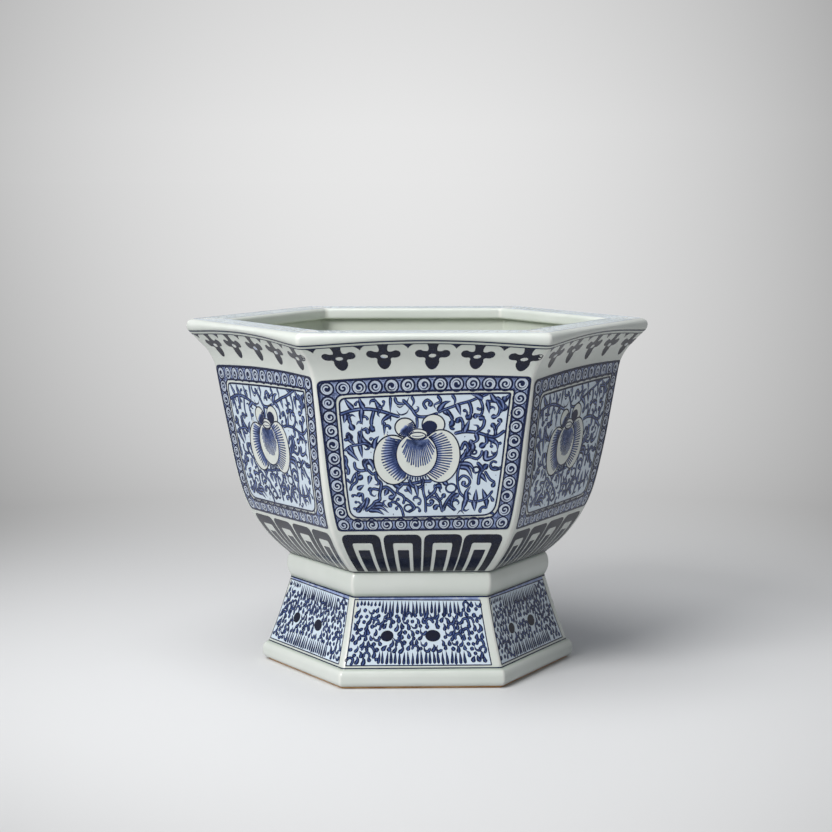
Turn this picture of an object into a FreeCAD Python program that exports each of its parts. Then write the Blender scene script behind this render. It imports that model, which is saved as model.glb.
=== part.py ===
"""A hexagonal glazed jardiniere standing on its own hexagonal stand.

Both are slab-built ware. Curved and flat slabs of clay are cut with mitred ends, luted
together with slip along the mitres, rounded over at the corners and fired. The pot lifts
straight off the stand: a foot ring under its floor drops into the collar of the stand and
keeps it centred.

Frame: millimetres, +Z up, origin at the middle of the stand's resting face. Two of the six
sides face -Y and +Y, and two corners point along -X and +X. "Apothem" is the distance from
the axis to the middle of a side. An outline is made of segments in (apothem, height): a
line as [start, end] or an arc as [start, middle, end]. "Lean" is an angle from upright, in
degrees, and a positive lean opens outwards on the way up.
"""

import FreeCAD
import Part

import math
import os

# ---- six-sided plan ---------------------------------------------------------------
SIDES = 6
SIDE_NAMES = ("front", "front_right", "back_right", "back", "back_left", "front_left")

# ---- stand ------------------------------------------------------------------------
FOOT_RIM_HEIGHT = 2.0  # unglazed clay that the stand rests on
FOOT_RIM_SET_BACK = 1.2  # how far its top lies inside the edge of the base moulding
FOOT_RIM_BEVEL = 1.2  # how far its outer face leans in towards the ground
FOOT_RIM_WIDTH = 12.0
BASE_LOWER_ROUND = 4.0  # height of the rounding under the base moulding's upright face
BASE_UPRIGHT = 4.0
BASE_UPPER_ROUND = 6.2
BASE_UNDERCUT = 2.4  # how far its lower edge lies inside its upright face
BASE_LEDGE = 4.5  # how far it stands out from the wall above it
BASE_DEPTH = 15.0  # from its upright face to its inner face
STAND_WALL_HEIGHT = 58.3
STAND_FLARE = 17.3  # how far the wall spreads from the collar to the base moulding
STAND_WAIST_LEAN = 13.5  # at the collar, from where the wall curves out
STAND_SLAB = 9.0  # thickness of the stand's wall slabs
COLLAR_HEIGHT = 20.0
COLLAR_TUCK = 1.0  # how far the stand's wall starts inside the pot's bottom edge
COLLAR_BULGE = 2.3  # how far the collar swells past the pot's bottom edge
COLLAR_BULGE_HEIGHT = 11.0  # above the collar's underside

# ---- pot --------------------------------------------------------------------------
POT_SLAB = 9.0  # thickness of the pot's wall slabs
POT_BASE_APOTHEM = 98.0  # outer face of the wall where the pot sits on the collar
SEAT_LEAN = 50.0  # of the wall where it starts on the collar
HIP_RADIUS = 111.0  # the tight round of the hip
HIP_LEAN = 13.5  # where the hip gives way to the belly
BELLY_RADIUS = 480.0
BELLY_LEAN = 9.0
BELLY_LENGTH = 67.0  # straight stretch above the belly's round
NECK_RADIUS = 42.0  # hollow round under the flare
FLARE_LEAN = 41.0
FLARE_LENGTH = 16.24  # straight stretch up to the rim
FLOOR_THICKNESS = 10.0
DRAIN_RADIUS = 11.0
FOOT_RING_DEPTH = 8.5  # how far the foot ring reaches down into the collar
FOOT_RING_WIDTH = 9.0
FOOT_RING_INSET = 2.0  # from the bottom edge of the wall's inner face
SEAT_CLEARANCE = 1.5  # foot ring to collar, per side
RIM_THICKNESS = 10.0
RIM_WIDTH = 33.0
RIM_PROUD = 1.4  # how far the rim's edge stands out past the top of the wall
RIM_ROUND = 5.4  # rounding of its outer top edge

# ---- corners ----------------------------------------------------------------------
POT_CORNER_ROUND = 5.0
STAND_CORNER_ROUND = 4.0


# ---- plane geometry of an outline ---------------------------------------------------
def sin_of(degrees):
    return math.sin(math.radians(degrees))


def cos_of(degrees):
    return math.cos(math.radians(degrees))


def heading(lean):
    """The unit vector that goes up at a lean."""
    return (sin_of(lean), cos_of(lean))


def along(point, vector, length):
    """The point that lies length from point along a unit vector."""
    return (point[0] + vector[0] * length, point[1] + vector[1] * length)


def straight(start, lean, length):
    """A straight stretch upwards."""
    return [start, along(start, heading(lean), length)]


def bend(start, radius, lean, new_lean):
    """An arc upwards that leaves start at one lean and ends at another.

    It swells outwards where the lean falls, and is hollow where the lean grows.
    """
    side = 1 if new_lean < lean else -1
    centre = along(start, (-cos_of(lean), sin_of(lean)), side * radius)
    points = [start]
    for reached in ((lean + new_lean) / 2, new_lean):
        points.append(along(centre, (cos_of(reached), -sin_of(reached)), side * radius))
    return points


def arc_from(start, direction, end):
    """The arc that leaves start along a unit vector and reaches end."""
    chord = math.dist(start, end)
    across = ((end[0] - start[0]) / chord, (end[1] - start[1]) / chord)
    cross = direction[0] * across[1] - direction[1] * across[0]
    half_turn = math.atan2(cross, direction[0] * across[0] + direction[1] * across[1])
    rise = -math.tan(half_turn / 2) * chord / 2
    middle = ((start[0] + end[0]) / 2, (start[1] + end[1]) / 2)
    return [start, along(middle, (-across[1], across[0]), rise), end]


def walked_back(segments):
    """The same segments, walked the other way."""
    return [segment[::-1] for segment in reversed(segments)]


def polygon(points):
    """The straight segments round a list of corners."""
    return [[start, end] for start, end in zip(points, points[1:] + points[:1])]


# ---- six-sided solids ------------------------------------------------------------------
def side_sector(reach, bottom, top):
    """The upright wedge of the plan that belongs to the front side, corner to corner."""
    half_width = reach * math.tan(math.pi / SIDES)
    corners = [(0, 0), (-half_width, -reach), (half_width, -reach), (0, 0)]
    plan = Part.makePolygon([FreeCAD.Vector(x, y, bottom) for x, y in corners])
    return Part.Face(plan).extrude(FreeCAD.Vector(0, 0, top - bottom))


def turned_to(shape, side):
    """A copy of a front piece, turned to another side."""
    turned = shape.copy()
    turned.rotate(FreeCAD.Vector(), FreeCAD.Vector(0, 0, 1), side * 360 / SIDES)
    return turned


def outline_edges(segments):
    """The segments as edges in the plane of the front side's middle line."""
    edges = []
    for segment in segments:
        points = [FreeCAD.Vector(0, -apothem, height) for apothem, height in segment]
        edges.append(Part.Arc(*points).toShape() if len(points) == 3 else Part.makeLine(*points))
    return edges


def corner_edges(shape, outer):
    """The edges of a six-sided solid that follow the outer segments at its corners."""
    found = []
    for edge in shape.Edges:
        ends = sorted((vertex.Z, math.hypot(vertex.X, vertex.Y)) for vertex in edge.Vertexes)
        for segment in outer:
            wanted = sorted((point[1], point[0] / cos_of(180 / SIDES)) for point in (segment[0], segment[-1]))
            if len(ends) == 2 and math.dist(sum(ends, ()), sum(wanted, ())) < 0.01:
                found.append(edge)
    return found


def six_sided(outer, rest, corner_round):
    """An outline carried round all six sides, as the front side's share of the ring.

    The ring is made whole so that its corners can be rounded, and then cut along the
    mitres.

    Args:
        outer: the segments that show on the outside.
        rest: the segments that close the outline.
        corner_round: radius of the outer corners, 0 to leave them sharp.

    Returns:
        The mitred front slab.
    """
    segments = outer + rest
    reach = 2 * max(apothem for segment in segments for apothem, _ in segment)
    heights = [height for segment in segments for _, height in segment]
    sector = side_sector(reach, min(heights) - reach, max(heights) + reach)
    length = FreeCAD.Vector(2 * reach, 0, 0)
    bar = Part.Face(Part.Wire(Part.sortEdges(outline_edges(segments))[0])).extrude(length)
    bar.translate(-length / 2)
    slab = bar.common(sector)
    if corner_round:
        sides = [turned_to(slab, side) for side in range(SIDES)]
        ring = sides[0].multiFuse(sides[1:]).removeSplitter()
        rounded = ring.makeFillet(corner_round, corner_edges(ring, outer))
        slab = rounded.common(sector)
    return Part.Solid(slab.Solids[0])


def mitred_ring(slab):
    """Six copies of a mitred slab, which meet at the corners."""
    return Part.makeCompound([turned_to(slab, side) for side in range(SIDES)])


# ---- pot ------------------------------------------------------------------------------------
def hip_lean_at(depth, height):
    """Lean of the hip, depth inside the wall's outer face, at a height above the seat."""
    return math.degrees(math.asin((HIP_RADIUS * sin_of(SEAT_LEAN) - height) / (HIP_RADIUS - depth)))


def hip_point(depth, height):
    """The point of the hip, depth inside the wall's outer face, at a height above the seat."""
    shift = (HIP_RADIUS - depth) * cos_of(hip_lean_at(depth, height)) - HIP_RADIUS * cos_of(SEAT_LEAN)
    return (POT_BASE_APOTHEM + shift, SEAT + height)


def pot_wall_chain(depth):
    """The pot's wall outline, depth inside its outer face, from the seat upwards.

    A round hip and a flatter round lead into the straight belly, and a hollow neck opens
    into the straight flare. Every join is tangent.
    """
    lean = hip_lean_at(depth, 0)
    hip = bend(hip_point(depth, 0), HIP_RADIUS - depth, lean, HIP_LEAN)
    round_belly = bend(hip[-1], BELLY_RADIUS - depth, HIP_LEAN, BELLY_LEAN)
    belly = straight(round_belly[-1], BELLY_LEAN, BELLY_LENGTH)
    neck = bend(belly[-1], NECK_RADIUS + depth, BELLY_LEAN, FLARE_LEAN)
    return [hip, round_belly, belly, neck]


def pot_wall():
    """The front wall slab of the pot, from its seat on the collar to the rim's underside.

    Only the outside is hollowed at the neck. The inside goes on straight to the rim, so the
    wall is thicker there and carries the rim.
    """
    outer = pot_wall_chain(0)
    outer.append(straight(outer[-1][-1], FLARE_LEAN, FLARE_LENGTH))
    inner = pot_wall_chain(POT_SLAB)[:2]
    inner_rise = (RIM_BOTTOM - inner[-1][-1][1]) / cos_of(BELLY_LEAN)
    inner.append(straight(inner[-1][-1], BELLY_LEAN, inner_rise))
    seat = [inner[0][0], outer[0][0]]
    top = [outer[-1][-1], inner[-1][-1]]
    return six_sided(outer, [top, *walked_back(inner), seat], POT_CORNER_ROUND)


def pot_floor():
    """The floor slab, with edges that follow the wall it is luted into, and a drain hole."""
    seat, top = hip_point(POT_SLAB, 0), hip_point(POT_SLAB, FLOOR_THICKNESS)
    edge = [seat, hip_point(POT_SLAB, FLOOR_THICKNESS / 2), top]
    slab = six_sided([edge], [[top, (0, top[1])], [(0, top[1]), (0, SEAT)], [(0, SEAT), seat]], 0)
    sides = [turned_to(slab, side) for side in range(SIDES)]
    plate = sides[0].multiFuse(sides[1:]).removeSplitter()
    drain = Part.makeCylinder(DRAIN_RADIUS, FLOOR_THICKNESS, FreeCAD.Vector(0, 0, SEAT))
    return Part.Solid(plate.cut(drain).Solids[0])


def pot_foot_ring():
    """The unglazed ring under the floor, which drops into the collar."""
    inner = FOOT_RING_APOTHEM - FOOT_RING_WIDTH
    low = SEAT - FOOT_RING_DEPTH
    corners = [(inner, low), (FOOT_RING_APOTHEM, low), (FOOT_RING_APOTHEM, SEAT), (inner, SEAT)]
    return mitred_ring(six_sided(polygon(corners), [], 0))


def pot_rim():
    """The flat rim on top of the walls, with a rounded outer edge."""
    edge = WALL_TOP_APOTHEM + RIM_PROUD
    round_start = (edge, RIM_TOP - RIM_ROUND)
    round_end = (edge - RIM_ROUND, RIM_TOP)
    swell = arc_from(round_start, (0, -1), (WALL_TOP_APOTHEM, RIM_BOTTOM))[::-1]
    top_round = arc_from(round_start, (0, 1), round_end)
    inner = edge - RIM_WIDTH
    top = [round_end, (inner, RIM_TOP)]
    opening = [(inner, RIM_TOP), (inner, RIM_BOTTOM)]
    underside = [(inner, RIM_BOTTOM), (WALL_TOP_APOTHEM, RIM_BOTTOM)]
    return mitred_ring(six_sided([swell, top_round], [top, opening, underside], POT_CORNER_ROUND))


# ---- stand -----------------------------------------------------------------------------------
def stand_collar():
    """The swelling collar round the top of the stand, which the pot sits on."""
    opening = FOOT_RING_APOTHEM + SEAT_CLEARANCE
    bulge = (POT_BASE_APOTHEM + COLLAR_BULGE, COLLAR_BOTTOM + COLLAR_BULGE_HEIGHT)
    swell = [(STAND_WAIST_APOTHEM, COLLAR_BOTTOM), bulge, (POT_BASE_APOTHEM, SEAT)]
    rest = [
        [(POT_BASE_APOTHEM, SEAT), (opening, SEAT)],
        [(opening, SEAT), (opening, COLLAR_BOTTOM)],
        [(opening, COLLAR_BOTTOM), (STAND_WAIST_APOTHEM, COLLAR_BOTTOM)],
    ]
    return mitred_ring(six_sided([swell], rest, STAND_CORNER_ROUND))


def stand_wall():
    """The front wall slab of the stand, which flares from the collar to the moulding."""
    waist, foot = (STAND_WAIST_APOTHEM, COLLAR_BOTTOM), (STAND_FOOT_APOTHEM, STAND_WALL_BOTTOM)
    outer = arc_from(waist, (sin_of(STAND_WAIST_LEAN), -cos_of(STAND_WAIST_LEAN)), foot)
    thickness = STAND_SLAB / cos_of(STAND_WAIST_LEAN)
    inner = [(apothem - thickness, height) for apothem, height in outer]
    rest = [[foot, inner[-1]], inner[::-1], [inner[0], waist]]
    return six_sided([outer], rest, STAND_CORNER_ROUND)


def stand_base_moulding():
    """The glazed moulding round the bottom of the stand."""
    bottom = (BASE_APOTHEM - BASE_UNDERCUT, FOOT_RIM_HEIGHT)
    upright_low = (BASE_APOTHEM, FOOT_RIM_HEIGHT + BASE_LOWER_ROUND)
    upright_high = (BASE_APOTHEM, upright_low[1] + BASE_UPRIGHT)
    top = (STAND_FOOT_APOTHEM, STAND_WALL_BOTTOM)
    inside_top = (BASE_APOTHEM - BASE_DEPTH, STAND_WALL_BOTTOM)
    inside_bottom = (BASE_APOTHEM - BASE_DEPTH, FOOT_RIM_HEIGHT)
    outer = [
        arc_from(upright_low, (0, -1), bottom)[::-1],
        [upright_low, upright_high],
        arc_from(upright_high, (0, 1), top),
    ]
    rest = [[top, inside_top], [inside_top, inside_bottom], [inside_bottom, bottom]]
    return mitred_ring(six_sided(outer, rest, STAND_CORNER_ROUND))


def stand_foot_rim():
    """The bare clay rim that the stand rests on."""
    outer = BASE_APOTHEM - BASE_UNDERCUT - FOOT_RIM_SET_BACK
    inner = outer - FOOT_RIM_WIDTH
    outside = [[(outer - FOOT_RIM_BEVEL, 0), (outer, FOOT_RIM_HEIGHT)]]
    rest = [
        [(outer, FOOT_RIM_HEIGHT), (inner, FOOT_RIM_HEIGHT)],
        [(inner, FOOT_RIM_HEIGHT), (inner, 0)],
        [(inner, 0), (outer - FOOT_RIM_BEVEL, 0)],
    ]
    return mitred_ring(six_sided(outside, rest, STAND_CORNER_ROUND))


# ---- heights above the ground, and the apothems that pieces share ------------------------------
STAND_WALL_BOTTOM = FOOT_RIM_HEIGHT + BASE_LOWER_ROUND + BASE_UPRIGHT + BASE_UPPER_ROUND
COLLAR_BOTTOM = STAND_WALL_BOTTOM + STAND_WALL_HEIGHT
SEAT = COLLAR_BOTTOM + COLLAR_HEIGHT  # the pot stands here
WALL_TOP_APOTHEM, RIM_BOTTOM = straight(pot_wall_chain(0)[-1][-1], FLARE_LEAN, FLARE_LENGTH)[-1]
RIM_TOP = RIM_BOTTOM + RIM_THICKNESS
STAND_WAIST_APOTHEM = POT_BASE_APOTHEM - COLLAR_TUCK
STAND_FOOT_APOTHEM = STAND_WAIST_APOTHEM + STAND_FLARE
BASE_APOTHEM = STAND_FOOT_APOTHEM + BASE_LEDGE
FOOT_RING_APOTHEM = hip_point(POT_SLAB, 0)[0] - FOOT_RING_INSET


def build():
    """Makes every sub-part, keyed by its node name."""
    parts = {
        "pot_rim": pot_rim(),
        "pot_floor": pot_floor(),
        "pot_foot_ring": pot_foot_ring(),
        "stand_collar": stand_collar(),
        "stand_base_moulding": stand_base_moulding(),
        "stand_foot_rim": stand_foot_rim(),
    }
    pot_slab, stand_slab = pot_wall(), stand_wall()
    for side, name in enumerate(SIDE_NAMES):
        parts["pot_wall_" + name] = turned_to(pot_slab, side)
        parts["stand_wall_" + name] = turned_to(stand_slab, side)
    return parts


def main():
    """Writes one STEP file for each sub-part."""
    os.makedirs("parts", exist_ok=True)
    for name, shape in build().items():
        shape.exportStep(os.path.join("parts", name + ".step"))
        print(f"{name}: {len(shape.Solids)} solids, {shape.Volume / 1000:.1f} cm3, valid {shape.isValid()}")
    print(f"overall height {RIM_TOP:.2f} mm")


main()
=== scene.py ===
"""A six-sided blue and white jardiniere on its own stand, glazed and painted.

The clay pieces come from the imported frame. Here they get their glaze as closed skins with
rounded arrises, and the painter's work is laid on each side as thin closed strokes of cobalt:
washes first, then the dark lines, the white that was left in reserve, and the last fine lines.

Sizes are millimetres until a mesh is written. "Apothem" is the distance from the upright axis
to the middle of a side. A side's painting is drawn on a board, a flat picture of that side: x
runs from corner to corner, -85 to 85 at every height, and y follows the wall upwards.
"""

import logging
import math
import random
from dataclasses import dataclass, field, replace
from enum import Enum
from typing import Any, Callable, Optional, Sequence

import bmesh
import bpy
import numpy as np
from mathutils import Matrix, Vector


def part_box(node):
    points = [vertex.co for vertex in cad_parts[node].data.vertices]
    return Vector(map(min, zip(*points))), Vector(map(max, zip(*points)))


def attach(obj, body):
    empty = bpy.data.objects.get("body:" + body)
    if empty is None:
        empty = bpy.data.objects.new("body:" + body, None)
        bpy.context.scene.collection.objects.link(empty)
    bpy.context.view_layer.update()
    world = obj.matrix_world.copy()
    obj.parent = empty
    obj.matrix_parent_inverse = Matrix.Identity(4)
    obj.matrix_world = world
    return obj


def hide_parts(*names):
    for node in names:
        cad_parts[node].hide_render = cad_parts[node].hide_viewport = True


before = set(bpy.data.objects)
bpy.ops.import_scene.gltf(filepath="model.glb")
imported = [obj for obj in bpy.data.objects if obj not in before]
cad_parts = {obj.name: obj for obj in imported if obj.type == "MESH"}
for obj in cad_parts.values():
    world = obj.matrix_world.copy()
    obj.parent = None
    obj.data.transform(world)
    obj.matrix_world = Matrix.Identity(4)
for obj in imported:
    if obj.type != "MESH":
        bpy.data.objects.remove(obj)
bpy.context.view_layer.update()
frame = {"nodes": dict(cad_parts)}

log = logging.getLogger("jardiniere")

MM = 0.001
SIDES = 6
SIDE_NAMES = ("front", "front_right", "back_right", "back", "back_left", "front_left")
HALF_SIDE = math.tan(math.pi / SIDES)
HALF_CORNER = math.pi / SIDES
BOARD_HALF = 85.0
PAST_CORNERS = 1.02  # how far a line that goes round runs past a side's corners

Point = tuple[float, float]
Lines = tuple[tuple[Point, ...], ...]
Oval = tuple[float, float, float, float]  # middle x and y, half width and half height
Tree = bpy.types.NodeTree
Node = bpy.types.Node
Socket = bpy.types.NodeSocket
Material = bpy.types.Material
Thing = bpy.types.Object


class Slot(Enum):
    """The record's material slots."""

    GLAZE = "glazed_porcelain"
    CLAY = "bare_porcelain_clay"


class Body(Enum):
    """The two bodies that come apart."""

    POT = "jardiniere"
    STAND = "stand"


# ---- nodes, colours ---------------------------------------------------------------------
def linear(hex_colour: str) -> tuple[float, float, float, float]:
    """Turns an sRGB colour into the linear one that a shader takes.

    Args:
        hex_colour: six hex digits, with or without #.

    Returns:
        Linear red, green and blue, and an alpha of 1.
    """
    digits = hex_colour.lstrip("#")
    channels = [int(digits[i : i + 2], 16) / 255 for i in (0, 2, 4)]
    return (*[c / 12.92 if c <= 0.04045 else ((c + 0.055) / 1.055) ** 2.4 for c in channels], 1.0)


def add_node(tree: Tree, kind: str, inputs: Optional[dict[Any, Any]] = None, **settings: Any) -> Node:
    """Adds one node to a shader or geometry tree.

    Args:
        tree: the tree that gets the node.
        kind: the node's type name.
        inputs: socket name or index, to a value, to another node's output, or to a node for its first.
        settings: the node's own settings.

    Returns:
        The node.
    """
    node = tree.nodes.new(kind)
    for name, value in settings.items():
        setattr(node, name, value)
    for key, value in (inputs or {}).items():
        if isinstance(value, Node):
            value = value.outputs[0]
        if isinstance(value, Socket):
            tree.links.new(value, node.inputs[key])
        else:
            node.inputs[key].default_value = value
    return node


# ---- outlines and sides --------------------------------------------------------------------
def lengths_along(path: np.ndarray) -> np.ndarray:
    """How far along a path each of its points lies."""
    return np.concatenate([[0.0], np.cumsum(np.hypot(*np.diff(path, axis=0).T))])


class Outline:
    """A wall's edge, walked in (apothem, height) with a heading.

    The heading is in degrees from upright, and grows as the walk turns away from the axis.
    """

    def __init__(self, apothem: float, height: float, heading: float = 0.0, step: float = 2.0) -> None:
        """Starts the walk at a point, with a heading and the longest step it may take."""
        self.points: list[Point] = [(apothem, height)]
        self.headings: list[float] = [heading]
        self.step = step

    def straight(self, length: float) -> "Outline":
        """Walks straight on."""
        steps = max(1, math.ceil(length / self.step))
        (a, z), turn = self.points[-1], math.radians(self.headings[-1])
        for i in range(1, steps + 1):
            reach = length * i / steps
            self.points.append((a + reach * math.sin(turn), z + reach * math.cos(turn)))
            self.headings.append(self.headings[-1])
        return self

    def to_height(self, height: float) -> "Outline":
        """Walks straight on until it is at a height."""
        return self.straight((height - self.points[-1][1]) / math.cos(math.radians(self.headings[-1])))

    def bend(self, radius: float, heading: float) -> "Outline":
        """Walks round an arc until it has a new heading."""
        start, end = math.radians(self.headings[-1]), math.radians(heading)
        side = 1 if end > start else -1
        steps = max(3, math.ceil(radius * abs(end - start) / self.step))
        a, z = self.points[-1]
        for i in range(1, steps + 1):
            turn = start + (end - start) * i / steps
            across = side * radius * (math.cos(start) - math.cos(turn))
            self.points.append((a + across, z + side * radius * (math.sin(turn) - math.sin(start))))
            self.headings.append(math.degrees(turn))
        return self

    def arc_to(self, apothem: float, height: float) -> "Outline":
        """Walks round the arc that leaves along the heading and ends at a point."""
        a, z = self.points[-1]
        chord = math.degrees(math.atan2(apothem - a, height - z))
        half = (chord - self.headings[-1] + 180) % 360 - 180
        radius = math.dist((a, z), (apothem, height)) / 2 / abs(math.sin(math.radians(half)))
        return self.bend(radius, self.headings[-1] + 2 * half)

    def turn(self, heading: float) -> "Outline":
        """Turns on the spot."""
        self.headings[-1] = heading
        return self

    def lengths(self) -> np.ndarray:
        """How far along the walk each point lies."""
        return lengths_along(np.array(self.points))


def smooth_step(value: np.ndarray, low: float, high: float) -> np.ndarray:
    """Rises smoothly from 0 at low to 1 at high."""
    t = np.clip((np.asarray(value, float) - low) / (high - low), 0, 1)
    return t * t * (3 - 2 * t)


@dataclass(frozen=True)
class Sway:
    """How the rim and the wall under it bow up between two corners, from the firing."""

    rise: float = 4.4
    roundness: float = 1.3

    def lift(self, share: np.ndarray, weight: np.ndarray) -> np.ndarray:
        """The rise at a share of the way from the side's middle to its corner."""
        return self.rise * (1 - np.clip(np.abs(share), 0, 1) ** 2) ** self.roundness * weight


def hand_made(points: np.ndarray) -> np.ndarray:
    """Moves points outwards or inwards a little, as slabs joined by hand are never quite true.

    Args:
        points: rows of x, y, z in millimetres.

    Returns:
        The moved points. Nothing moves at the ground.
    """
    x, y, z = points.T
    depth = 0.16 * np.sin(0.043 * x + 0.031 * z + 0.7) + 0.14 * np.sin(0.051 * y - 0.037 * z + 2.1)
    depth += 0.10 * np.sin(0.083 * x - 0.071 * y + 0.09 * z) + 0.05 * np.sin(0.16 * (x + y) + 0.13 * z)
    depth *= smooth_step(z, 3, 30)
    radius = np.maximum(np.hypot(x, y), 1e-6)
    reach = depth * smooth_step(radius, 12, 60) / radius
    return np.stack([x + x * reach, y + y * reach, z], axis=1)


def side_axes(side: int) -> tuple[np.ndarray, np.ndarray]:
    """The outward direction of a side and the direction along it, counter-clockwise from above."""
    turn = math.radians(-90 + 60 * side)
    return np.array([math.cos(turn), math.sin(turn)]), np.array([-math.sin(turn), math.cos(turn)])


@dataclass
class Wall:
    """A six-sided surface with rounded corners that skins and painting share.

    Attributes:
        outline: the walk that the surface follows, upwards on the outside.
        corner_round: radius of the corners.
        sway: how it bows between its corners.
        sway_at: gives the sway's weight for apothems, heights and lengths along the outline.
    """

    outline: Outline
    corner_round: float
    sway: Sway = field(default_factory=Sway)
    sway_at: Callable[[np.ndarray, np.ndarray], np.ndarray] = lambda a, z: np.zeros_like(z)

    def __post_init__(self) -> None:
        """Measures the outline once."""
        self.s = self.outline.lengths()
        self.a, self.z = np.array(self.outline.points).T
        self.heading = np.array(self.outline.headings)

    def half_width(self, s: np.ndarray) -> np.ndarray:
        """Half the side's width, corner to corner, at a length along the outline."""
        return np.interp(s, self.s, self.a) * HALF_SIDE

    def place(self, side: int, along: np.ndarray, s: np.ndarray, lift: np.ndarray) -> np.ndarray:
        """Where points of a side lie.

        Args:
            side: 0 for the front, then counter-clockwise from above.
            along: distance from the side's middle line, round the corner where it is large.
            s: length along the outline.
            lift: distance above the surface.

        Returns:
            Rows of x, y, z in millimetres.
        """
        a, z = np.interp(s, self.s, self.a), np.interp(s, self.s, self.z)
        lean = np.radians(np.interp(s, self.s, self.heading))
        flat = (a - self.corner_round) * HALF_SIDE
        angle = np.clip(np.abs(along) - flat, 0, self.corner_round * HALF_CORNER) / self.corner_round
        angle = angle * np.sign(along)
        out = a - self.corner_round * (1 - np.cos(angle)) + lift * np.cos(lean) * np.cos(angle)
        sideways = np.clip(along, -flat, flat) + (self.corner_round + lift * np.cos(lean)) * np.sin(angle)
        rise = self.sway.lift(along / flat, self.sway_at(a, z))
        normal, tangent = side_axes(side)
        plan = out[:, None] * normal + sideways[:, None] * tangent
        return hand_made(np.column_stack([plan, z - lift * np.sin(lean) + rise]))


# ---- meshes ------------------------------------------------------------------------------------
def new_object(name: str, vertices: np.ndarray, faces: Sequence[Sequence[int]]) -> Thing:
    """Makes a mesh object from millimetres and links it to the scene."""
    mesh = bpy.data.meshes.new(name)
    mesh.from_pydata((np.asarray(vertices) * MM).tolist(), [], faces)
    mesh.update()
    thing = bpy.data.objects.new(name, mesh)
    bpy.context.scene.collection.objects.link(thing)
    return thing


def store(mesh: bpy.types.Mesh, name: str, values: np.ndarray) -> None:
    """Stores one number for each vertex under a name that materials read."""
    attribute = mesh.attributes.new(name, "FLOAT", "POINT")
    attribute.data.foreach_set("value", np.asarray(values, np.float32))


def bake_nodes(thing: Thing, tree: Tree, inputs: dict[str, Any]) -> Thing:
    """Runs a geometry tree on an object and keeps the result as its plain mesh.

    Args:
        thing: the object that the tree starts from.
        tree: a geometry tree with named inputs.
        inputs: input name to value.

    Returns:
        The same object, with no modifier.
    """
    modifier = thing.modifiers.new(tree.name, "NODES")
    modifier.node_group = tree
    for item in tree.interface.items_tree:
        if item.item_type == "SOCKET" and item.in_out == "INPUT" and item.name in inputs:
            modifier[item.identifier] = inputs[item.name]
    depsgraph = bpy.context.evaluated_depsgraph_get()
    mesh = bpy.data.meshes.new_from_object(thing.evaluated_get(depsgraph), depsgraph=depsgraph)
    thing.modifiers.remove(modifier)
    old, thing.data = thing.data, mesh
    bpy.data.meshes.remove(old)
    mesh.name = thing.name
    return thing


def new_tree(name: str, inputs: dict[str, tuple[str, Any]]) -> tuple[Any, Node, Node]:
    """Starts a geometry tree.

    Args:
        name: the tree's name.
        inputs: input name to its socket type and its value at first.

    Returns:
        The tree, its input node and its output node.
    """
    tree = bpy.data.node_groups.new(name, "GeometryNodeTree")
    tree.interface.new_socket("Geometry", in_out="OUTPUT", socket_type="NodeSocketGeometry")
    tree.interface.new_socket("Geometry", in_out="INPUT", socket_type="NodeSocketGeometry")
    for label, (kind, value) in inputs.items():
        socket = tree.interface.new_socket(label, in_out="INPUT", socket_type="NodeSocket" + kind)
        if value is not None:
            socket.default_value = value
    return tree, add_node(tree, "NodeGroupInput"), add_node(tree, "NodeGroupOutput")


def finish(tree: Any, geometry: Socket, given: Node, result: Node) -> None:
    """Ends a tree: copies become real, take the material that was given, and go out."""
    real = add_node(tree, "GeometryNodeRealizeInstances", {0: geometry})
    inputs = {"Geometry": real, "Material": given.outputs["Material"]}
    dress = add_node(tree, "GeometryNodeSetMaterial", inputs)
    tree.links.new(dress.outputs[0], result.inputs[0])


def six_sides_tree() -> Tree:
    """A tree that repeats one side's share of a skin round the axis and joins it at the mitres."""
    tree, given, result = new_tree(
        "six_sides",
        {"Sides": ("Int", SIDES), "Weld": ("Float", 2e-5), "Material": ("Material", None)},
    )
    spots = add_node(tree, "GeometryNodeMeshLine", {"Count": given.outputs["Sides"], "Offset": (0, 0, 0)})
    index = add_node(tree, "GeometryNodeInputIndex")
    step = add_node(tree, "ShaderNodeMath", {0: math.tau, 1: given.outputs["Sides"]}, operation="DIVIDE")
    angle = add_node(tree, "ShaderNodeMath", {0: index, 1: step}, operation="MULTIPLY")
    turn = add_node(tree, "ShaderNodeCombineXYZ", {"Z": angle})
    rotation = add_node(tree, "FunctionNodeEulerToRotation", {0: turn})
    inputs = {"Points": spots, "Instance": given.outputs["Geometry"], "Rotation": rotation}
    copies = add_node(tree, "GeometryNodeInstanceOnPoints", inputs)
    real = add_node(tree, "GeometryNodeRealizeInstances", {0: copies})
    inputs = {"Geometry": real, "Distance": given.outputs["Weld"]}
    weld = add_node(tree, "GeometryNodeMergeByDistance", inputs)
    smooth = add_node(tree, "GeometryNodeSetShadeSmooth", {0: weld})
    finish(tree, smooth.outputs[0], given, result)
    return tree


# ---- finishes -----------------------------------------------------------------------------------
def new_material(name: str) -> tuple[Material, Tree, Node]:
    """Makes an empty node material with a Principled surface."""
    material = bpy.data.materials.new(name)
    material.use_nodes = True
    tree = material.node_tree
    tree.nodes.clear()
    surface = add_node(tree, "ShaderNodeBsdfPrincipled")
    add_node(tree, "ShaderNodeOutputMaterial", {"Surface": surface})
    return material, tree, surface


def mottle(tree: Tree, size: float, detail: float = 2.0) -> Socket:
    """Noise on object coordinates whose patches are about size millimetres across."""
    where = add_node(tree, "ShaderNodeTexCoord")
    inputs = {"Vector": where.outputs["Object"], "Scale": 1 / (size * MM), "Detail": detail}
    return add_node(tree, "ShaderNodeTexNoise", inputs).outputs["Fac"]


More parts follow.
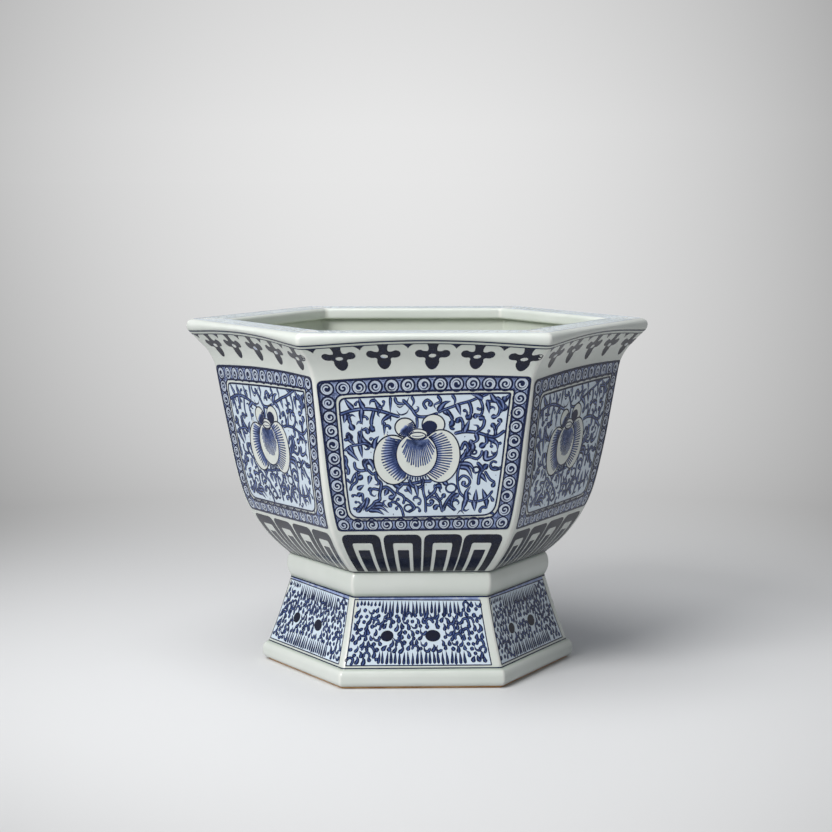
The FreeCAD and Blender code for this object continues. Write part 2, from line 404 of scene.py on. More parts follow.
def spread(
    tree: Tree, value: Socket, low: float, high: float, start: float = 0.0, end: float = 1.0
) -> Socket:
    """Maps value from start..end at the input to low..high, and clamps it there."""
    inputs = {"Value": value, "From Min": start, "From Max": end, "To Min": low, "To Max": high}
    return add_node(tree, "ShaderNodeMapRange", inputs).outputs[0]


def blend_colours(tree: Tree, factor: Socket, first: Any, second: Any, mode: str = "MIX") -> Socket:
    """Mixes two colours, each a hex string or another node's output."""
    first, second = [linear(c) if isinstance(c, str) else c for c in (first, second)]
    inputs = {0: factor, 6: first, 7: second}
    return add_node(tree, "ShaderNodeMix", inputs, data_type="RGBA", blend_type=mode).outputs[2]


def glaze_gloss(tree: Tree, surface: Node, roughness: float) -> None:
    """Gives a surface the gloss of fired glaze, with a roughness that varies a little in patches."""
    patches = spread(tree, mottle(tree, 30), roughness - 0.03, roughness + 0.04)
    tree.links.new(patches, surface.inputs["Roughness"])
    surface.inputs["IOR"].default_value = 1.5


@dataclass(frozen=True)
class PorcelainGlaze:
    """Clear feldspar glaze over white porcelain, fired in reduction.

    It looks like wet glass over a faintly green white. It is whiter where it ran thin on the
    arrises, greener where it pooled in the hollows, and painted darker inside the pot as painted shade.
    """

    name: str = "clear_glazed_porcelain"
    white: str = "#dce0da"
    thin: str = "#e8e8e2"
    pooled: str = "#b9c4b6"
    # painted shade: the darker colour that the glaze is given inside the pot
    inside: str = "#cfd4c9"
    cloudy: str = "#ced5cc"
    speck: str = "#8f8a78"
    roughness: float = 0.13
    ripple_mm: float = 16.0

    def make(self) -> Material:
        """Builds the material."""
        material, tree, surface = new_material(self.name)
        patches = spread(tree, mottle(tree, 45, 3), 0, 0.5, 0.35, 0.75)
        colour = blend_colours(tree, patches, self.white, self.cloudy)
        # thin and pool are the glaze's own colour; the inside tint is painted shade inside the pot
        for attribute, tint in (("thin", self.thin), ("inside", self.inside), ("pool", self.pooled)):
            amount = add_node(tree, "ShaderNodeAttribute", attribute_name=attribute).outputs["Fac"]
            colour = blend_colours(tree, amount, colour, tint)
        specks = spread(tree, mottle(tree, 1.3, 1), 0, 0.35, 0.79, 0.84)
        colour = blend_colours(tree, specks, colour, self.speck)
        tree.links.new(colour, surface.inputs["Base Color"])
        glaze_gloss(tree, surface, self.roughness)
        inputs = {"Height": mottle(tree, self.ripple_mm, 1), "Strength": 0.25, "Distance": 0.4 * MM}
        bump = add_node(tree, "ShaderNodeBump", inputs)
        tree.links.new(bump.outputs[0], surface.inputs["Normal"])
        return material


@dataclass(frozen=True)
class BareClay:
    """Bare porcelain clay, wiped clean of glaze and fired: matt, pale orange-brown and gritty."""

    name: str = "bare_fired_porcelain_clay"
    colour: str = "#dcb07c"
    dark: str = "#c08d56"
    dry: str = "#e0c7a8"
    grit_mm: float = 1.2

    def make(self) -> Material:
        """Builds the material."""
        material, tree, surface = new_material(self.name)
        flash = spread(tree, mottle(tree, 18, 4), 0, 1, 0.35, 0.7)
        colour = blend_colours(tree, flash, self.colour, self.dark)
        grit = mottle(tree, self.grit_mm, 3)
        colour = blend_colours(tree, spread(tree, grit, 0, 0.5, 0.55, 0.75), colour, self.dry)
        tree.links.new(colour, surface.inputs["Base Color"])
        tree.links.new(spread(tree, grit, 0.7, 0.95), surface.inputs["Roughness"])
        bump = add_node(tree, "ShaderNodeBump", {"Height": grit, "Strength": 0.5, "Distance": 0.3 * MM})
        tree.links.new(bump.outputs[0], surface.inputs["Normal"])
        return material


# ---- skins --------------------------------------------------------------------------------------
@dataclass
class Section:
    """The closed outline of a skin, with what its glaze does at each point.

    Attributes:
        points: apothem and height, outside upwards and back down inside.
        corners: radius of the six-sided ring's corners at each point.
        sway: weight of the sway at each point.
        pool: how much glaze pooled there.
        inside: 1 where the point is in the shade of the inside.
    """

    points: list[Point] = field(default_factory=list)
    corners: list[float] = field(default_factory=list)
    sway: list[float] = field(default_factory=list)
    pool: list[float] = field(default_factory=list)
    inside: list[float] = field(default_factory=list)

    def add(
        self,
        points: Sequence[Point],
        corner: float,
        sway: Callable[[float, float], float] = lambda a, z: 0.0,
        pool: Callable[[float, float], float] = lambda a, z: 0.0,
        inside: float = 0.0,
    ) -> "Section":
        """Adds a stretch of the outline. Points that repeat the last one are left out."""
        for a, z in points:
            if self.points and math.dist(self.points[-1], (a, z)) < 0.02:
                continue
            self.points.append((a, z))
            self.corners.append(min(corner, a))
            self.sway.append(float(sway(a, z)))
            self.pool.append(float(pool(a, z)))
            self.inside.append(inside)
        return self

    def skin(self, name: str, tree: Tree, material: Material) -> Thing:
        """Carries the outline round all six sides as one closed skin.

        Args:
            name: the new object's name.
            tree: the tree that repeats one side.
            material: the glaze.

        Returns:
            The skin.
        """
        shares = np.linspace(-1, 1, 29)
        turns = np.linspace(0, HALF_CORNER, 5)[1:]
        share = np.concatenate([-np.ones(len(turns)), shares, np.ones(len(turns))])
        turn = np.concatenate([-turns[::-1], np.zeros(len(shares)), turns])
        (a, z), corner = np.array(self.points).T[:, :, None], np.array(self.corners)[:, None]
        out = a - corner * (1 - np.cos(turn))
        sideways = share * (a - corner) * HALF_SIDE + corner * np.sin(turn)
        rise = Sway().lift(share, np.array(self.sway)[:, None])
        grid = np.stack([sideways, -out, z + rise], axis=2)
        rows, columns = grid.shape[:2]
        faces = [
            (i * columns + j, i * columns + j + 1, after + j + 1, after + j)
            for i in range(rows)
            for after in [(i + 1) % rows * columns]
            for j in range(columns - 1)
        ]
        thing = new_object(name, grid.reshape(-1, 3), faces)
        arris = (np.abs(turn) / HALF_CORNER)[None, :] * np.ones((rows, 1))
        spare = 1 - np.array(self.inside)[:, None]
        store(thing.data, "thin", (arris * 0.8 * spare).ravel())
        store(thing.data, "pool", np.repeat(self.pool, columns))
        # the inside mark: where the glaze gets its painted shade
        store(thing.data, "inside", np.repeat(self.inside, columns))
        bake_nodes(thing, tree, {"Material": material})
        wobble(thing.data)
        return thing


def wobble(mesh: bpy.types.Mesh) -> None:
    """Gives a mesh the same small hand-made unevenness as the painting on it."""
    points = np.zeros(len(mesh.vertices) * 3)
    mesh.vertices.foreach_get("co", points)
    moved = hand_made(points.reshape(-1, 3) / MM) * MM
    mesh.vertices.foreach_set("co", moved.ravel())
    mesh.update()


def keep(thing: Thing, body: Body, slot: Slot, *replaced: str) -> Thing:
    """Puts a finished piece on the body that it rides on, and hides the nodes that it stands for."""
    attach(thing, body.value)
    if replaced:
        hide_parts(*replaced)
    log.info("%s: %d faces on %s", thing.name, len(thing.data.polygons), body.value)
    return thing


@dataclass
class Pot:
    """The jardiniere: its wall slabs, floor and rim under one glaze.

    The fields are the outer face's sizes, as the slabs of the frame have them.
    """

    slab: float = 9.0
    base_apothem: float = 98.0
    seat_lean: float = 50.0
    hip_radius: float = 111.0
    hip_lean: float = 13.5
    belly_radius: float = 480.0
    belly_lean: float = 9.0
    belly_length: float = 67.0
    neck_radius: float = 42.0
    flare_lean: float = 41.0
    floor: float = 10.0
    drain_radius: float = 11.0
    corner_round: float = 5.0
    inner_corner_round: float = 4.0
    rim_width: float = 33.0
    rim_proud: float = 1.4
    rim_round: float = 5.4
    rim_inner_round: float = 3.2
    sway_from: float = 232.0  # height where the wall begins to bow with the rim
    sway_inner: float = 161.0  # apothem inside which nothing bows

    def __post_init__(self) -> None:
        """Takes the seat's and the rim's heights from the frame."""
        rim_low, rim_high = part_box("pot_rim")
        self.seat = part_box("pot_foot_ring")[1].z / MM
        self.rim_bottom = rim_low.z / MM
        self.rim_top = rim_high.z / MM
        self.wall = Wall(self.outline(0), self.corner_round, sway_at=self.sway_weight)
        self.rim_edge = self.outline(0).points[-1][0] + self.rim_proud
        top = Outline(self.rim_edge - self.rim_round, self.rim_top, -90)
        top.straight(self.rim_width - self.rim_round - self.rim_inner_round)
        self.rim_face = Wall(top, self.corner_round)

    def sway_weight(self, apothem: np.ndarray, height: np.ndarray) -> np.ndarray:
        """The sway's weight on the outside: none at the belly, full at the rim's underside, none on top."""
        fade = np.clip((self.rim_top - height) / (self.rim_top - self.rim_bottom), 0, 1)
        return smooth_step(height, self.sway_from, self.rim_bottom) * fade * (apothem > self.sway_inner / 2)

    def hip(self, depth: float, height: float) -> tuple[float, float]:
        """Apothem and lean of the hip, depth inside the outer face, at a height above the seat."""
        start = math.radians(self.seat_lean)
        lean = math.asin((self.hip_radius * math.sin(start) - height) / (self.hip_radius - depth))
        out = (self.hip_radius - depth) * math.cos(lean) - self.hip_radius * math.cos(start)
        return self.base_apothem + out, math.degrees(lean)

    def outline(self, depth: float, height: float = 0.0, step: float = 2.0) -> Outline:
        """The wall, depth inside its outer face, from a height above the seat to the rim.

        Only the outer face has the hollow neck: inside, the wall goes on straight.
        """
        apothem, lean = self.hip(depth, height)
        walk = Outline(apothem, self.seat + height, lean, step)
        walk.bend(self.hip_radius - depth, self.hip_lean).bend(self.belly_radius - depth, self.belly_lean)
        if depth == 0:
            walk.straight(self.belly_length).bend(self.neck_radius, self.flare_lean)
        return walk.to_height(self.rim_bottom)

    def body_section(self) -> Section:
        """The closed outline of the walls and floor."""
        def sway(a: float, z: float) -> float:
            return float(smooth_step(z, self.sway_from, self.rim_bottom))

        def pool(a: float, z: float) -> float:
            near_rim = 0.55 * float(smooth_step(z, self.rim_bottom - 9, self.rim_bottom))
            return near_rim + 0.5 * float(smooth_step(-z, -self.seat - 5, -self.seat))

        edge = self.base_apothem
        section = Section().add([(edge - 1.1, self.seat)], self.corner_round)
        section.add(self.outline(0).points[1:], self.corner_round, sway, pool)
        inner = self.outline(self.slab, self.floor + 7, 4.0).points
        top_out, top_in = section.points[-1][0], inner[-1][0]
        tuck = self.rim_bottom + 0.6
        section.add([(top_out - 0.8, tuck)], self.corner_round, lambda a, z: 1.0, inside=1)
        section.add([(top_in + 1, tuck)], self.inner_corner_round, inside=1)
        section.add(inner[::-1], self.inner_corner_round, inside=1)
        floor_top = self.seat + self.floor
        wall_foot = self.hip(self.slab, self.floor)[0]
        cove = [(wall_foot - back, floor_top + up) for back, up in ((0.2, 3.4), (3.2, 1.0), (8, 0))]
        section.add(cove, self.inner_corner_round, inside=1, pool=lambda a, z: 0.6)
        hole = self.drain_radius
        for apothem, corner in ((60, 14), (36, 20), (20, 16), (hole + 2, hole + 2), (hole + 0.8, hole + 0.8)):
            section.add([(apothem, floor_top)], corner, inside=1)
        section.add([(hole, floor_top - 0.8), (hole, self.seat + 0.8)], hole, inside=1)
        section.add([(hole + 0.8, self.seat), (hole + 2, self.seat)], hole + 2, inside=1)
        return section.add([(70, self.seat), (edge - 3, self.seat)], self.corner_round, inside=1)

    def rim_section(self) -> Section:
        """The closed outline of the flat rim with its rolled edge."""
        wall_top = self.outline(0).points[-1][0]
        middle = self.rim_top - self.rim_round
        swell = Outline(self.rim_edge, middle, 180, 0.9).arc_to(wall_top, self.rim_bottom).points[::-1]
        top = Outline(self.rim_edge, middle, 0, 0.9).bend(self.rim_round, -90)
        top.step = 2.5
        top.straight(self.rim_width - self.rim_round - self.rim_inner_round)
        top.step = 0.8
        top.bend(self.rim_inner_round, -180)
        low = self.rim_bottom + 1.5
        top.step = 2.0
        top.straight(top.points[-1][1] - low)

        def sway(a: float, z: float) -> float:
            fade = (self.rim_top - z) / (self.rim_top - self.rim_bottom)
            return fade * float(smooth_step(a, self.sway_inner, wall_top))

        def pool(a: float, z: float) -> float:
            outer = 0.5 * float(smooth_step(-z, -self.rim_bottom - 2.5, -self.rim_bottom))
            return outer * (a > wall_top - 1)

        section = Section().add(swell, self.corner_round, sway, pool)
        section.add(top.points, self.corner_round, sway)
        inner = self.rim_edge - self.rim_width
        under = [(inner + 0.5, self.rim_bottom + 0.5), (inner + 1.6, self.rim_bottom)]
        section.add(under, self.corner_round, sway, inside=1)
        under = [(inner + reach, self.rim_bottom) for reach in (10, 19, 25, 30)]
        return section.add(under, self.corner_round, sway, inside=1)

    def build(self, tree: Tree, glaze: Material) -> None:
        """Makes the pot's two skins."""
        walls = [f"pot_wall_{name}" for name in SIDE_NAMES]
        body = self.body_section().skin("pot_glazed_body", tree, glaze)
        keep(body, Body.POT, Slot.GLAZE, "pot_floor", *walls)
        rim = self.rim_section().skin("pot_glazed_rim", tree, glaze)
        keep(rim, Body.POT, Slot.GLAZE, "pot_rim")


@dataclass
class Stand:
    """The stand: collar, flared walls and base moulding, glazed down to the bare foot rim."""

    slab: float = 9.0
    collar_bulge: float = 2.3
    collar_bulge_height: float = 11.0
    collar_tuck: float = 1.0
    collar_opening: float = 82.5
    flare: float = 17.3
    waist_lean: float = 13.5
    ledge: float = 4.5
    base_depth: float = 15.0
    base_undercut: float = 2.4
    base_lower_round: float = 4.0
    base_upright: float = 4.0
    corner_round: float = 4.0

    def __post_init__(self) -> None:
        """Takes the heights from the frame, and draws the wall from its foot upwards."""
        wall_low, wall_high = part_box("stand_wall_front")
        self.wall_bottom, self.wall_top = wall_low.z / MM, wall_high.z / MM
        self.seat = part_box("stand_collar")[1].z / MM
        self.base_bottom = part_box("stand_base_moulding")[0].z / MM
        self.seat_apothem = Pot.base_apothem
        self.waist = self.seat_apothem - self.collar_tuck
        self.foot = self.waist + self.flare
        down = Outline(self.waist, self.wall_top, 180 - self.waist_lean).arc_to(self.foot, self.wall_bottom)
        up = Outline(self.foot, self.wall_bottom, down.headings[-1] - 180)
        self.wall = Wall(up.arc_to(self.waist, self.wall_top), self.corner_round)

    def wall_section(self) -> Section:
        """The closed outline of the flared walls, tucked into the collar and the moulding."""
        thickness = self.slab / math.cos(math.radians(self.waist_lean))
        outer = self.wall.outline.points

        def pool(a: float, z: float) -> float:
            low = 0.8 * float(smooth_step(-z, -self.wall_bottom - 3, -self.wall_bottom))
            return low + 0.8 * float(smooth_step(z, self.wall_top - 3, self.wall_top))

        section = Section().add([(self.foot + 0.2, self.wall_bottom - 0.6)], self.corner_round)
        section.add(outer, self.corner_round, pool=pool)
        section.add([(self.waist - 0.2, self.wall_top + 0.6)], self.corner_round)
        inner = [(a - thickness, z) for a, z in outer[::-4]]
        inner[0] = (inner[0][0], self.wall_top + 0.6)
        section.add(inner, 3.0, inside=1)
        return section.add([(self.foot - thickness, self.wall_bottom - 0.6)], 3.0, inside=1)

    def collar_section(self) -> Section:
        """The closed outline of the swelling collar."""
        bulge = (self.seat_apothem + self.collar_bulge, self.wall_top + self.collar_bulge_height)
        low = (self.waist, self.wall_top)
        high = (self.seat_apothem, self.seat)
        radius, centre = circle_through(low, bulge, high)
        angles = np.linspace(*[math.atan2(z - centre[1], a - centre[0]) for a, z in (low, high)], 16)
        swell = [(centre[0] + radius * math.cos(t), centre[1] + radius * math.sin(t)) for t in angles]
        swell[-1] = (self.seat_apothem - 0.7, self.seat)

        def pool(a: float, z: float) -> float:
            low_part = 0.7 * float(smooth_step(-z, -self.wall_top - 4, -self.wall_top))
            return low_part + 0.4 * float(smooth_step(z, self.seat - 2.5, self.seat))

        section = Section().add(swell, self.corner_round, pool=pool)
        section.add([(self.seat_apothem - 3, self.seat), (self.collar_opening + 3, self.seat)], 4.0)
        section.add([(self.collar_opening + 0.8, self.seat), (self.collar_opening, self.seat - 0.8)], 4.0)
        section.add([(self.collar_opening, self.wall_top + 0.8)], 4.0, inside=1)
        section.add([(self.collar_opening + 0.8, self.wall_top)], 4.0, inside=1)
        return section.add([(self.waist - 3, self.wall_top)], self.corner_round, inside=1)

    def base_section(self) -> Section:
        """The closed outline of the base moulding."""
        edge = self.foot + self.ledge
        low = self.base_bottom + self.base_lower_round
        under = Outline(edge, low, 180, 0.9).arc_to(edge - self.base_undercut, self.base_bottom).points[::-1]
        walk = Outline(edge, low, 0, 1.0).straight(self.base_upright)
        walk.arc_to(self.foot, self.wall_bottom)

        def pool(a: float, z: float) -> float:
            return 0.8 * float(smooth_step(z, self.wall_bottom - 1.8, self.wall_bottom))

        section = Section().add(under, self.corner_round)
        section.add(walk.points, self.corner_round, pool=pool)
        inner = edge - self.base_depth
        section.add([(inner + 1, self.wall_bottom), (inner, self.wall_bottom - 1)], 3.0, inside=1)
        return section.add([(inner, self.base_bottom + 1), (inner + 1, self.base_bottom)], 3.0, inside=1)

    def build(self, tree: Tree, glaze: Material) -> None:
        """Makes the stand's three skins."""
        walls = [f"stand_wall_{name}" for name in SIDE_NAMES]
        keep(self.wall_section().skin("stand_glazed_walls", tree, glaze), Body.STAND, Slot.GLAZE, *walls)
        collar = self.collar_section().skin("stand_glazed_collar", tree, glaze)
        keep(collar, Body.STAND, Slot.GLAZE, "stand_collar")
        base = self.base_section().skin("stand_glazed_base", tree, glaze)
        keep(base, Body.STAND, Slot.GLAZE, "stand_base_moulding")


def circle_through(first: Point, middle: Point, last: Point) -> tuple[float, Point]:
    """The radius and centre of the circle through three points."""
    (ax, ay), (bx, by), (cx, cy) = first, middle, last
    d = 2 * (ax * (by - cy) + bx * (cy - ay) + cx * (ay - by))
    aa, bb, cc = ax * ax + ay * ay, bx * bx + by * by, cx * cx + cy * cy
    x = (aa * (by - cy) + bb * (cy - ay) + cc * (ay - by)) / d
    y = (aa * (cx - bx) + bb * (ax - cx) + cc * (bx - ax)) / d
    return math.dist((x, y), first), (x, y)


# ---- brushwork ----------------------------------------------------------------------------------
class Coat(Enum):
    """How far above the glaze each coat of painting lies, in millimetres."""

    GROUND = 0.05
    WASH = 0.06
    LINE = 0.12
    RESERVE = 0.18
    SHADE = 0.21
    BUTTON = 0.24
    TOP = 0.27


class Tip(Enum):
    """How a brush stroke ends."""

    ROUND = "round"
    POINT = "pointed"
    BULB = "swollen"


@dataclass(frozen=True)
class Brush:
    """How a kind of stroke is painted.

    Attributes:
        width: full width of the stroke, in millimetres.
        tips: how it starts and ends.
        tone: depth of cobalt along its edges, from 0, thin, over 1, full, to 2, almost black.
        core: depth of cobalt along its middle.
    """

    width: float
    tips: tuple[Tip, Tip] = (Tip.ROUND, Tip.ROUND)
    tone: float = 1.0
    core: float = 1.0


@dataclass(frozen=True)
class Stroke:
    """One stroke on the board: the points it passes, its brush, and whether it closes on itself."""

    points: tuple[Point, ...]
    brush: Brush
    closed: bool = False
    sharp: bool = False  # straight from point to point


def smooth_path(points: Sequence[Point], closed: bool, step: float) -> np.ndarray:
    """A smooth line through points.

    Args:
        points: two points or more.
        closed: whether the line comes back to the first one.
        step: distance between the samples.

    Returns:
        Rows of x, y. The first point isn't repeated on a closed line.
    """
    knots = [np.array(p, float) for p in points]
    if closed:
        knots = [knots[-1], *knots, knots[0], knots[1]]
    else:
        knots = [2 * knots[0] - knots[1], *knots, 2 * knots[-1] - knots[-2]]
    samples = []
    for p0, p1, p2, p3 in zip(knots, knots[1:], knots[2:], knots[3:]):
        t = np.cumsum([0.0] + [max(math.dist(a, b), 1e-3) ** 0.5 for a, b in ((p0, p1), (p1, p2), (p2, p3))])
        count = max(2, math.ceil(math.dist(p1, p2) / step))
        u = np.linspace(t[1], t[2], count, endpoint=False)[:, None]
        a1 = ((t[1] - u) * p0 + (u - t[0]) * p1) / (t[1] - t[0])
        a2 = ((t[2] - u) * p1 + (u - t[1]) * p2) / (t[2] - t[1])
        a3 = ((t[3] - u) * p2 + (u - t[2]) * p3) / (t[3] - t[2])
        b1 = ((t[2] - u) * a1 + (u - t[0]) * a2) / (t[2] - t[0])
        b2 = ((t[3] - u) * a2 + (u - t[1]) * a3) / (t[3] - t[1])
        samples.append(((t[2] - u) * b1 + (u - t[1]) * b2) / (t[2] - t[1]))
    if not closed:
        samples.append(knots[-2][None, :])
    return np.concatenate(samples)


def straight_path(points: Sequence[Point], closed: bool, step: float) -> np.ndarray:
    """The straight runs from point to point, as samples step apart."""
    ends = list(points) + ([points[0]] if closed else [])
    runs = []
    for start, end in zip(ends, ends[1:]):
        count = max(1, math.ceil(math.dist(start, end) / step))
        runs.append(np.linspace(start, end, count, endpoint=False))
    if not closed:
        runs.append(np.array([ends[-1]], float))
    return np.concatenate(runs)


def half_widths(path: np.ndarray, brush: Brush) -> np.ndarray:
    """Half the stroke's width at each sample of its path."""
    gone = lengths_along(path)
    half = np.full(len(path), brush.width / 2)
    for left, tip in ((gone, brush.tips[0]), (gone[-1] - gone, brush.tips[1])):
        if tip is Tip.ROUND:
            t = np.clip(left / (brush.width / 2), 0.04, 1)
            half *= np.sqrt(1 - (1 - t) ** 2)
        elif tip is Tip.POINT:
            half *= np.clip(left / min(5 * brush.width, 0.7 * gone[-1]), 0.03, 1) ** 0.7
        else:
            bulb = 0.85 * brush.width
            ball = np.sqrt(np.clip(bulb**2 - (np.maximum(left, 0.04) - bulb) ** 2, 0, None))
            neck = np.clip(left / (2.2 * bulb), 0, 1) ** 0.8 * brush.width / 2
            swell = np.where(left < 2 * bulb, np.maximum(ball - half, 0), 0)
            half = np.minimum(half, np.where(left < 2.2 * bulb, np.maximum(ball, 0.7 * neck), half)) + swell
    return np.maximum(half, 0.03)


@dataclass
class Flat:
    """Painting on the board as thin closed shapes. Points above z = 0 are the face that shows.

    Attributes:
        points: rows of x, y, z in board millimetres.
        faces: vertex numbers of each face.
        marks: named numbers for each point: tone, core and across.
    """

    points: np.ndarray
    faces: list[tuple[int, ...]]
    marks: dict[str, np.ndarray]

    MARKS = ("tone", "core", "across")

    @classmethod
    def of(cls, mesh: bpy.types.Mesh) -> "Flat":
        """Reads a mesh that a tree made on the board."""
        points = np.zeros(len(mesh.vertices) * 3)
        mesh.vertices.foreach_get("co", points)
        marks = {}
        for name in cls.MARKS:
            values = np.zeros(len(mesh.vertices))
            mesh.attributes[name].data.foreach_get("value", values)
            marks[name] = values
        return cls(points.reshape(-1, 3), [tuple(p.vertices) for p in mesh.polygons], marks)

    @classmethod
    def joined(cls, parts: Sequence["Flat"]) -> "Flat":
        """Several flats as one."""
        faces, first = [], 0
        for part in parts:
            faces += [tuple(v + first for v in face) for face in part.faces]
            first += len(part.points)
        marks = {name: np.concatenate([p.marks[name] for p in parts]) for name in cls.MARKS}
        return cls(np.concatenate([p.points for p in parts]), faces, marks)

    def mesh_object(self, name: str) -> Thing:
        """The flat as an object on the board, one unit to the millimetre, to be repeated by a tree."""
        thing = new_object(name, self.points / MM, self.faces)
        for mark, values in self.marks.items():
            store(thing.data, mark, values)
        return thing


def filled(outlines: Sequence[Sequence[Point]], tone: float, lines: Point = (12.0, 2.0)) -> Flat:
    """Fills outlines with one tone, cut into cells so that the shape can follow the wall.

    Args:
        outlines: closed outlines, or quads that make up a larger shape.
        tone: depth of cobalt.
        lines: spacing of the cuts across and up the side.

    Returns:
        The shapes as one flat.
    """
    sheet = bmesh.new()
    for outline in outlines:
        sheet.faces.new([sheet.verts.new((x, y, 0)) for x, y in outline])
    bmesh.ops.remove_doubles(sheet, verts=sheet.verts[:], dist=1e-4)
    bmesh.ops.triangulate(sheet, faces=sheet.faces[:])
    for axis, spacing in enumerate(lines):
        reach = [v.co[axis] for v in sheet.verts]
        normal = [float(axis == i) for i in range(3)]
        for k in range(math.ceil(min(reach) / spacing), math.floor(max(reach) / spacing) + 1):
            where = [k * spacing * part for part in normal]
            everything = sheet.verts[:] + sheet.edges[:] + sheet.faces[:]
            bmesh.ops.bisect_plane(sheet, geom=everything, dist=1e-4, plane_co=where, plane_no=normal)
    sheet.verts.index_update()
    sheet.normal_update()
    count = len(sheet.verts)
    top, bottom, sides = [], [], []
    for face in sheet.faces:
        ring = [v.index for v in face.verts]
        ring = ring if face.normal.z > 0 else ring[::-1]
        top.append(tuple(ring))
        bottom.append(tuple(v + count for v in reversed(ring)))
        for edge_start, edge_end in zip(ring, ring[1:] + ring[:1]):
            sides.append((edge_start, edge_end))
    shared = set(sides)
    walls = [(b, a, a + count, b + count) for a, b in sides if (b, a) not in shared]
    flat = np.array([(v.co.x, v.co.y) for v in sheet.verts])
    sheet.free()
    points = np.concatenate([np.column_stack([flat, np.full(count, z)]) for z in (1.0, -1.0)])
    ones = np.ones(2 * count)
    return Flat(points, top + bottom + walls, {"tone": tone * ones, "core": tone * ones, "across": ones})


def disc(radius: float, tone: float, core: float) -> Flat:
    """A round spot about the board's origin, with a rim of one tone and a middle of another."""
    flat = filled([ellipse((0, 0), radius, radius, 24)], tone, (2.0, 2.0))
    flat.marks["core"] = np.full(len(flat.points), core)
    flat.marks["across"] = np.hypot(*flat.points[:, :2].T) / radius
    return flat


def sweep(tree: Any, curve: Socket, half: Socket) -> Socket:
    """Sweeps a flat closed section along curves in the board's plane.

    Args:
        tree: the geometry tree.
        curve: the curves.
        half: half the width at each point.

    Returns:
        The swept mesh, with the mark across running from -1 to 1.
    """
    upright = add_node(tree, "GeometryNodeSetCurveNormal", {0: curve}, mode="Z_UP")
    section = add_node(tree, "GeometryNodeCurvePrimitiveQuadrilateral", {"Width": 2.0, "Height": 2.0})
    position = add_node(tree, "GeometryNodeInputPosition")
    sideways = add_node(tree, "ShaderNodeSeparateXYZ", {0: position})
    inputs = {"Geometry": section, "Name": "across", "Value": sideways.outputs["X"]}
    marked = add_node(tree, "GeometryNodeStoreNamedAttribute", inputs, domain="POINT")
    inputs = {"Curve": upright, "Profile Curve": marked, "Scale": half, "Fill Caps": True}
    return add_node(tree, "GeometryNodeCurveToMesh", inputs).outputs[0]


def brush_tree() -> Tree:
    """A tree that paints strokes along a mesh's edges, as wide as the points' mark half."""
    tree, given, result = new_tree("brush_strokes", {"Width": ("Float", 1.0), "Material": ("Material", None)})
    curve = add_node(tree, "GeometryNodeMeshToCurve", {0: given.outputs["Geometry"]})
    half = add_node(tree, "GeometryNodeInputNamedAttribute", {"Name": "half"}, data_type="FLOAT")
    inputs = {0: half.outputs["Attribute"], 1: given.outputs["Width"]}
    wide = add_node(tree, "ShaderNodeMath", inputs, operation="MULTIPLY")
    finish(tree, sweep(tree, curve.outputs[0], wide.outputs[0]), given, result)
    return tree


def curl_tree() -> Tree:
    """A tree that paints one curl on each point, each turned and stretched a little at random.

    A curl winds outwards from its eye until it meets its radius, and closes there as a ring.
    """
    sizes = {
        "Radius": ("Float", 4.5),
        "Eye": ("Float", 0.5),
        "Pitch": ("Float", 2.0),
        "Turns": ("Float", 2.8),
        "Width": ("Float", 1.3),
        "Reverse": ("Bool", False),
        "Stretch": ("Float", 1.0),
        "Tone": ("Float", 1.0),
        "Core": ("Float", 1.0),
        "Seed": ("Int", 1),
        "Material": ("Material", None),
    }
    tree, given, result = new_tree("border_curls", sizes)
    asked = {name: given.outputs[name] for name in sizes}
    inputs = {0: asked["Turns"], 1: asked["Pitch"], 2: asked["Eye"]}
    end = add_node(tree, "ShaderNodeMath", inputs, operation="MULTIPLY_ADD")
    inputs = {"Resolution": 14, "Rotations": asked["Turns"], "Start Radius": asked["Eye"], "Height": 0.0}
    inputs |= {"End Radius": end, "Reverse": asked["Reverse"]}
    spiral = add_node(tree, "GeometryNodeCurveSpiral", inputs)
    where = add_node(tree, "GeometryNodeInputPosition")
    reach = add_node(tree, "ShaderNodeVectorMath", {0: where}, operation="LENGTH")
    inputs = {0: asked["Radius"], 1: reach.outputs["Value"]}
    share = add_node(tree, "ShaderNodeMath", inputs, operation="DIVIDE")
    kept = add_node(tree, "ShaderNodeMath", {0: share, 1: 1.0}, operation="MINIMUM")
    held = add_node(tree, "ShaderNodeVectorMath", {0: where, "Scale": kept}, operation="SCALE")
    closed = add_node(tree, "GeometryNodeSetPosition", {"Geometry": spiral, "Position": held})
    inputs = {"Seed": asked["Seed"], 0: (0, 0, 0), 1: (0, 0, math.tau)}
    turn = add_node(tree, "FunctionNodeRandomValue", inputs)
    turn.data_type = "FLOAT_VECTOR"
    rotation = add_node(tree, "FunctionNodeEulerToRotation", {0: turn})
    size = add_node(tree, "FunctionNodeRandomValue", {"Seed": asked["Seed"], 2: 0.93, 3: 1.07})
    wide = add_node(tree, "ShaderNodeMath", {0: size.outputs[1], 1: asked["Stretch"]}, operation="MULTIPLY")
    scale = add_node(tree, "ShaderNodeCombineXYZ", {"X": wide, "Y": wide, "Z": 1.0})
    inputs = {"Points": given.outputs["Geometry"], "Instance": closed}
    inputs |= {"Rotation": rotation, "Scale": scale}
    copies = add_node(tree, "GeometryNodeInstanceOnPoints", inputs)
    real = add_node(tree, "GeometryNodeRealizeInstances", {0: copies})
    half = add_node(tree, "ShaderNodeMath", {0: asked["Width"], 1: 0.5}, operation="MULTIPLY")
    painted = sweep(tree, real.outputs[0], half.outputs[0])
    for name in ("Tone", "Core"):
        inputs = {"Geometry": painted, "Name": name.lower(), "Value": asked[name]}
        painted = add_node(tree, "GeometryNodeStoreNamedAttribute", inputs, domain="POINT").outputs[0]
    finish(tree, painted, given, result)
    return tree


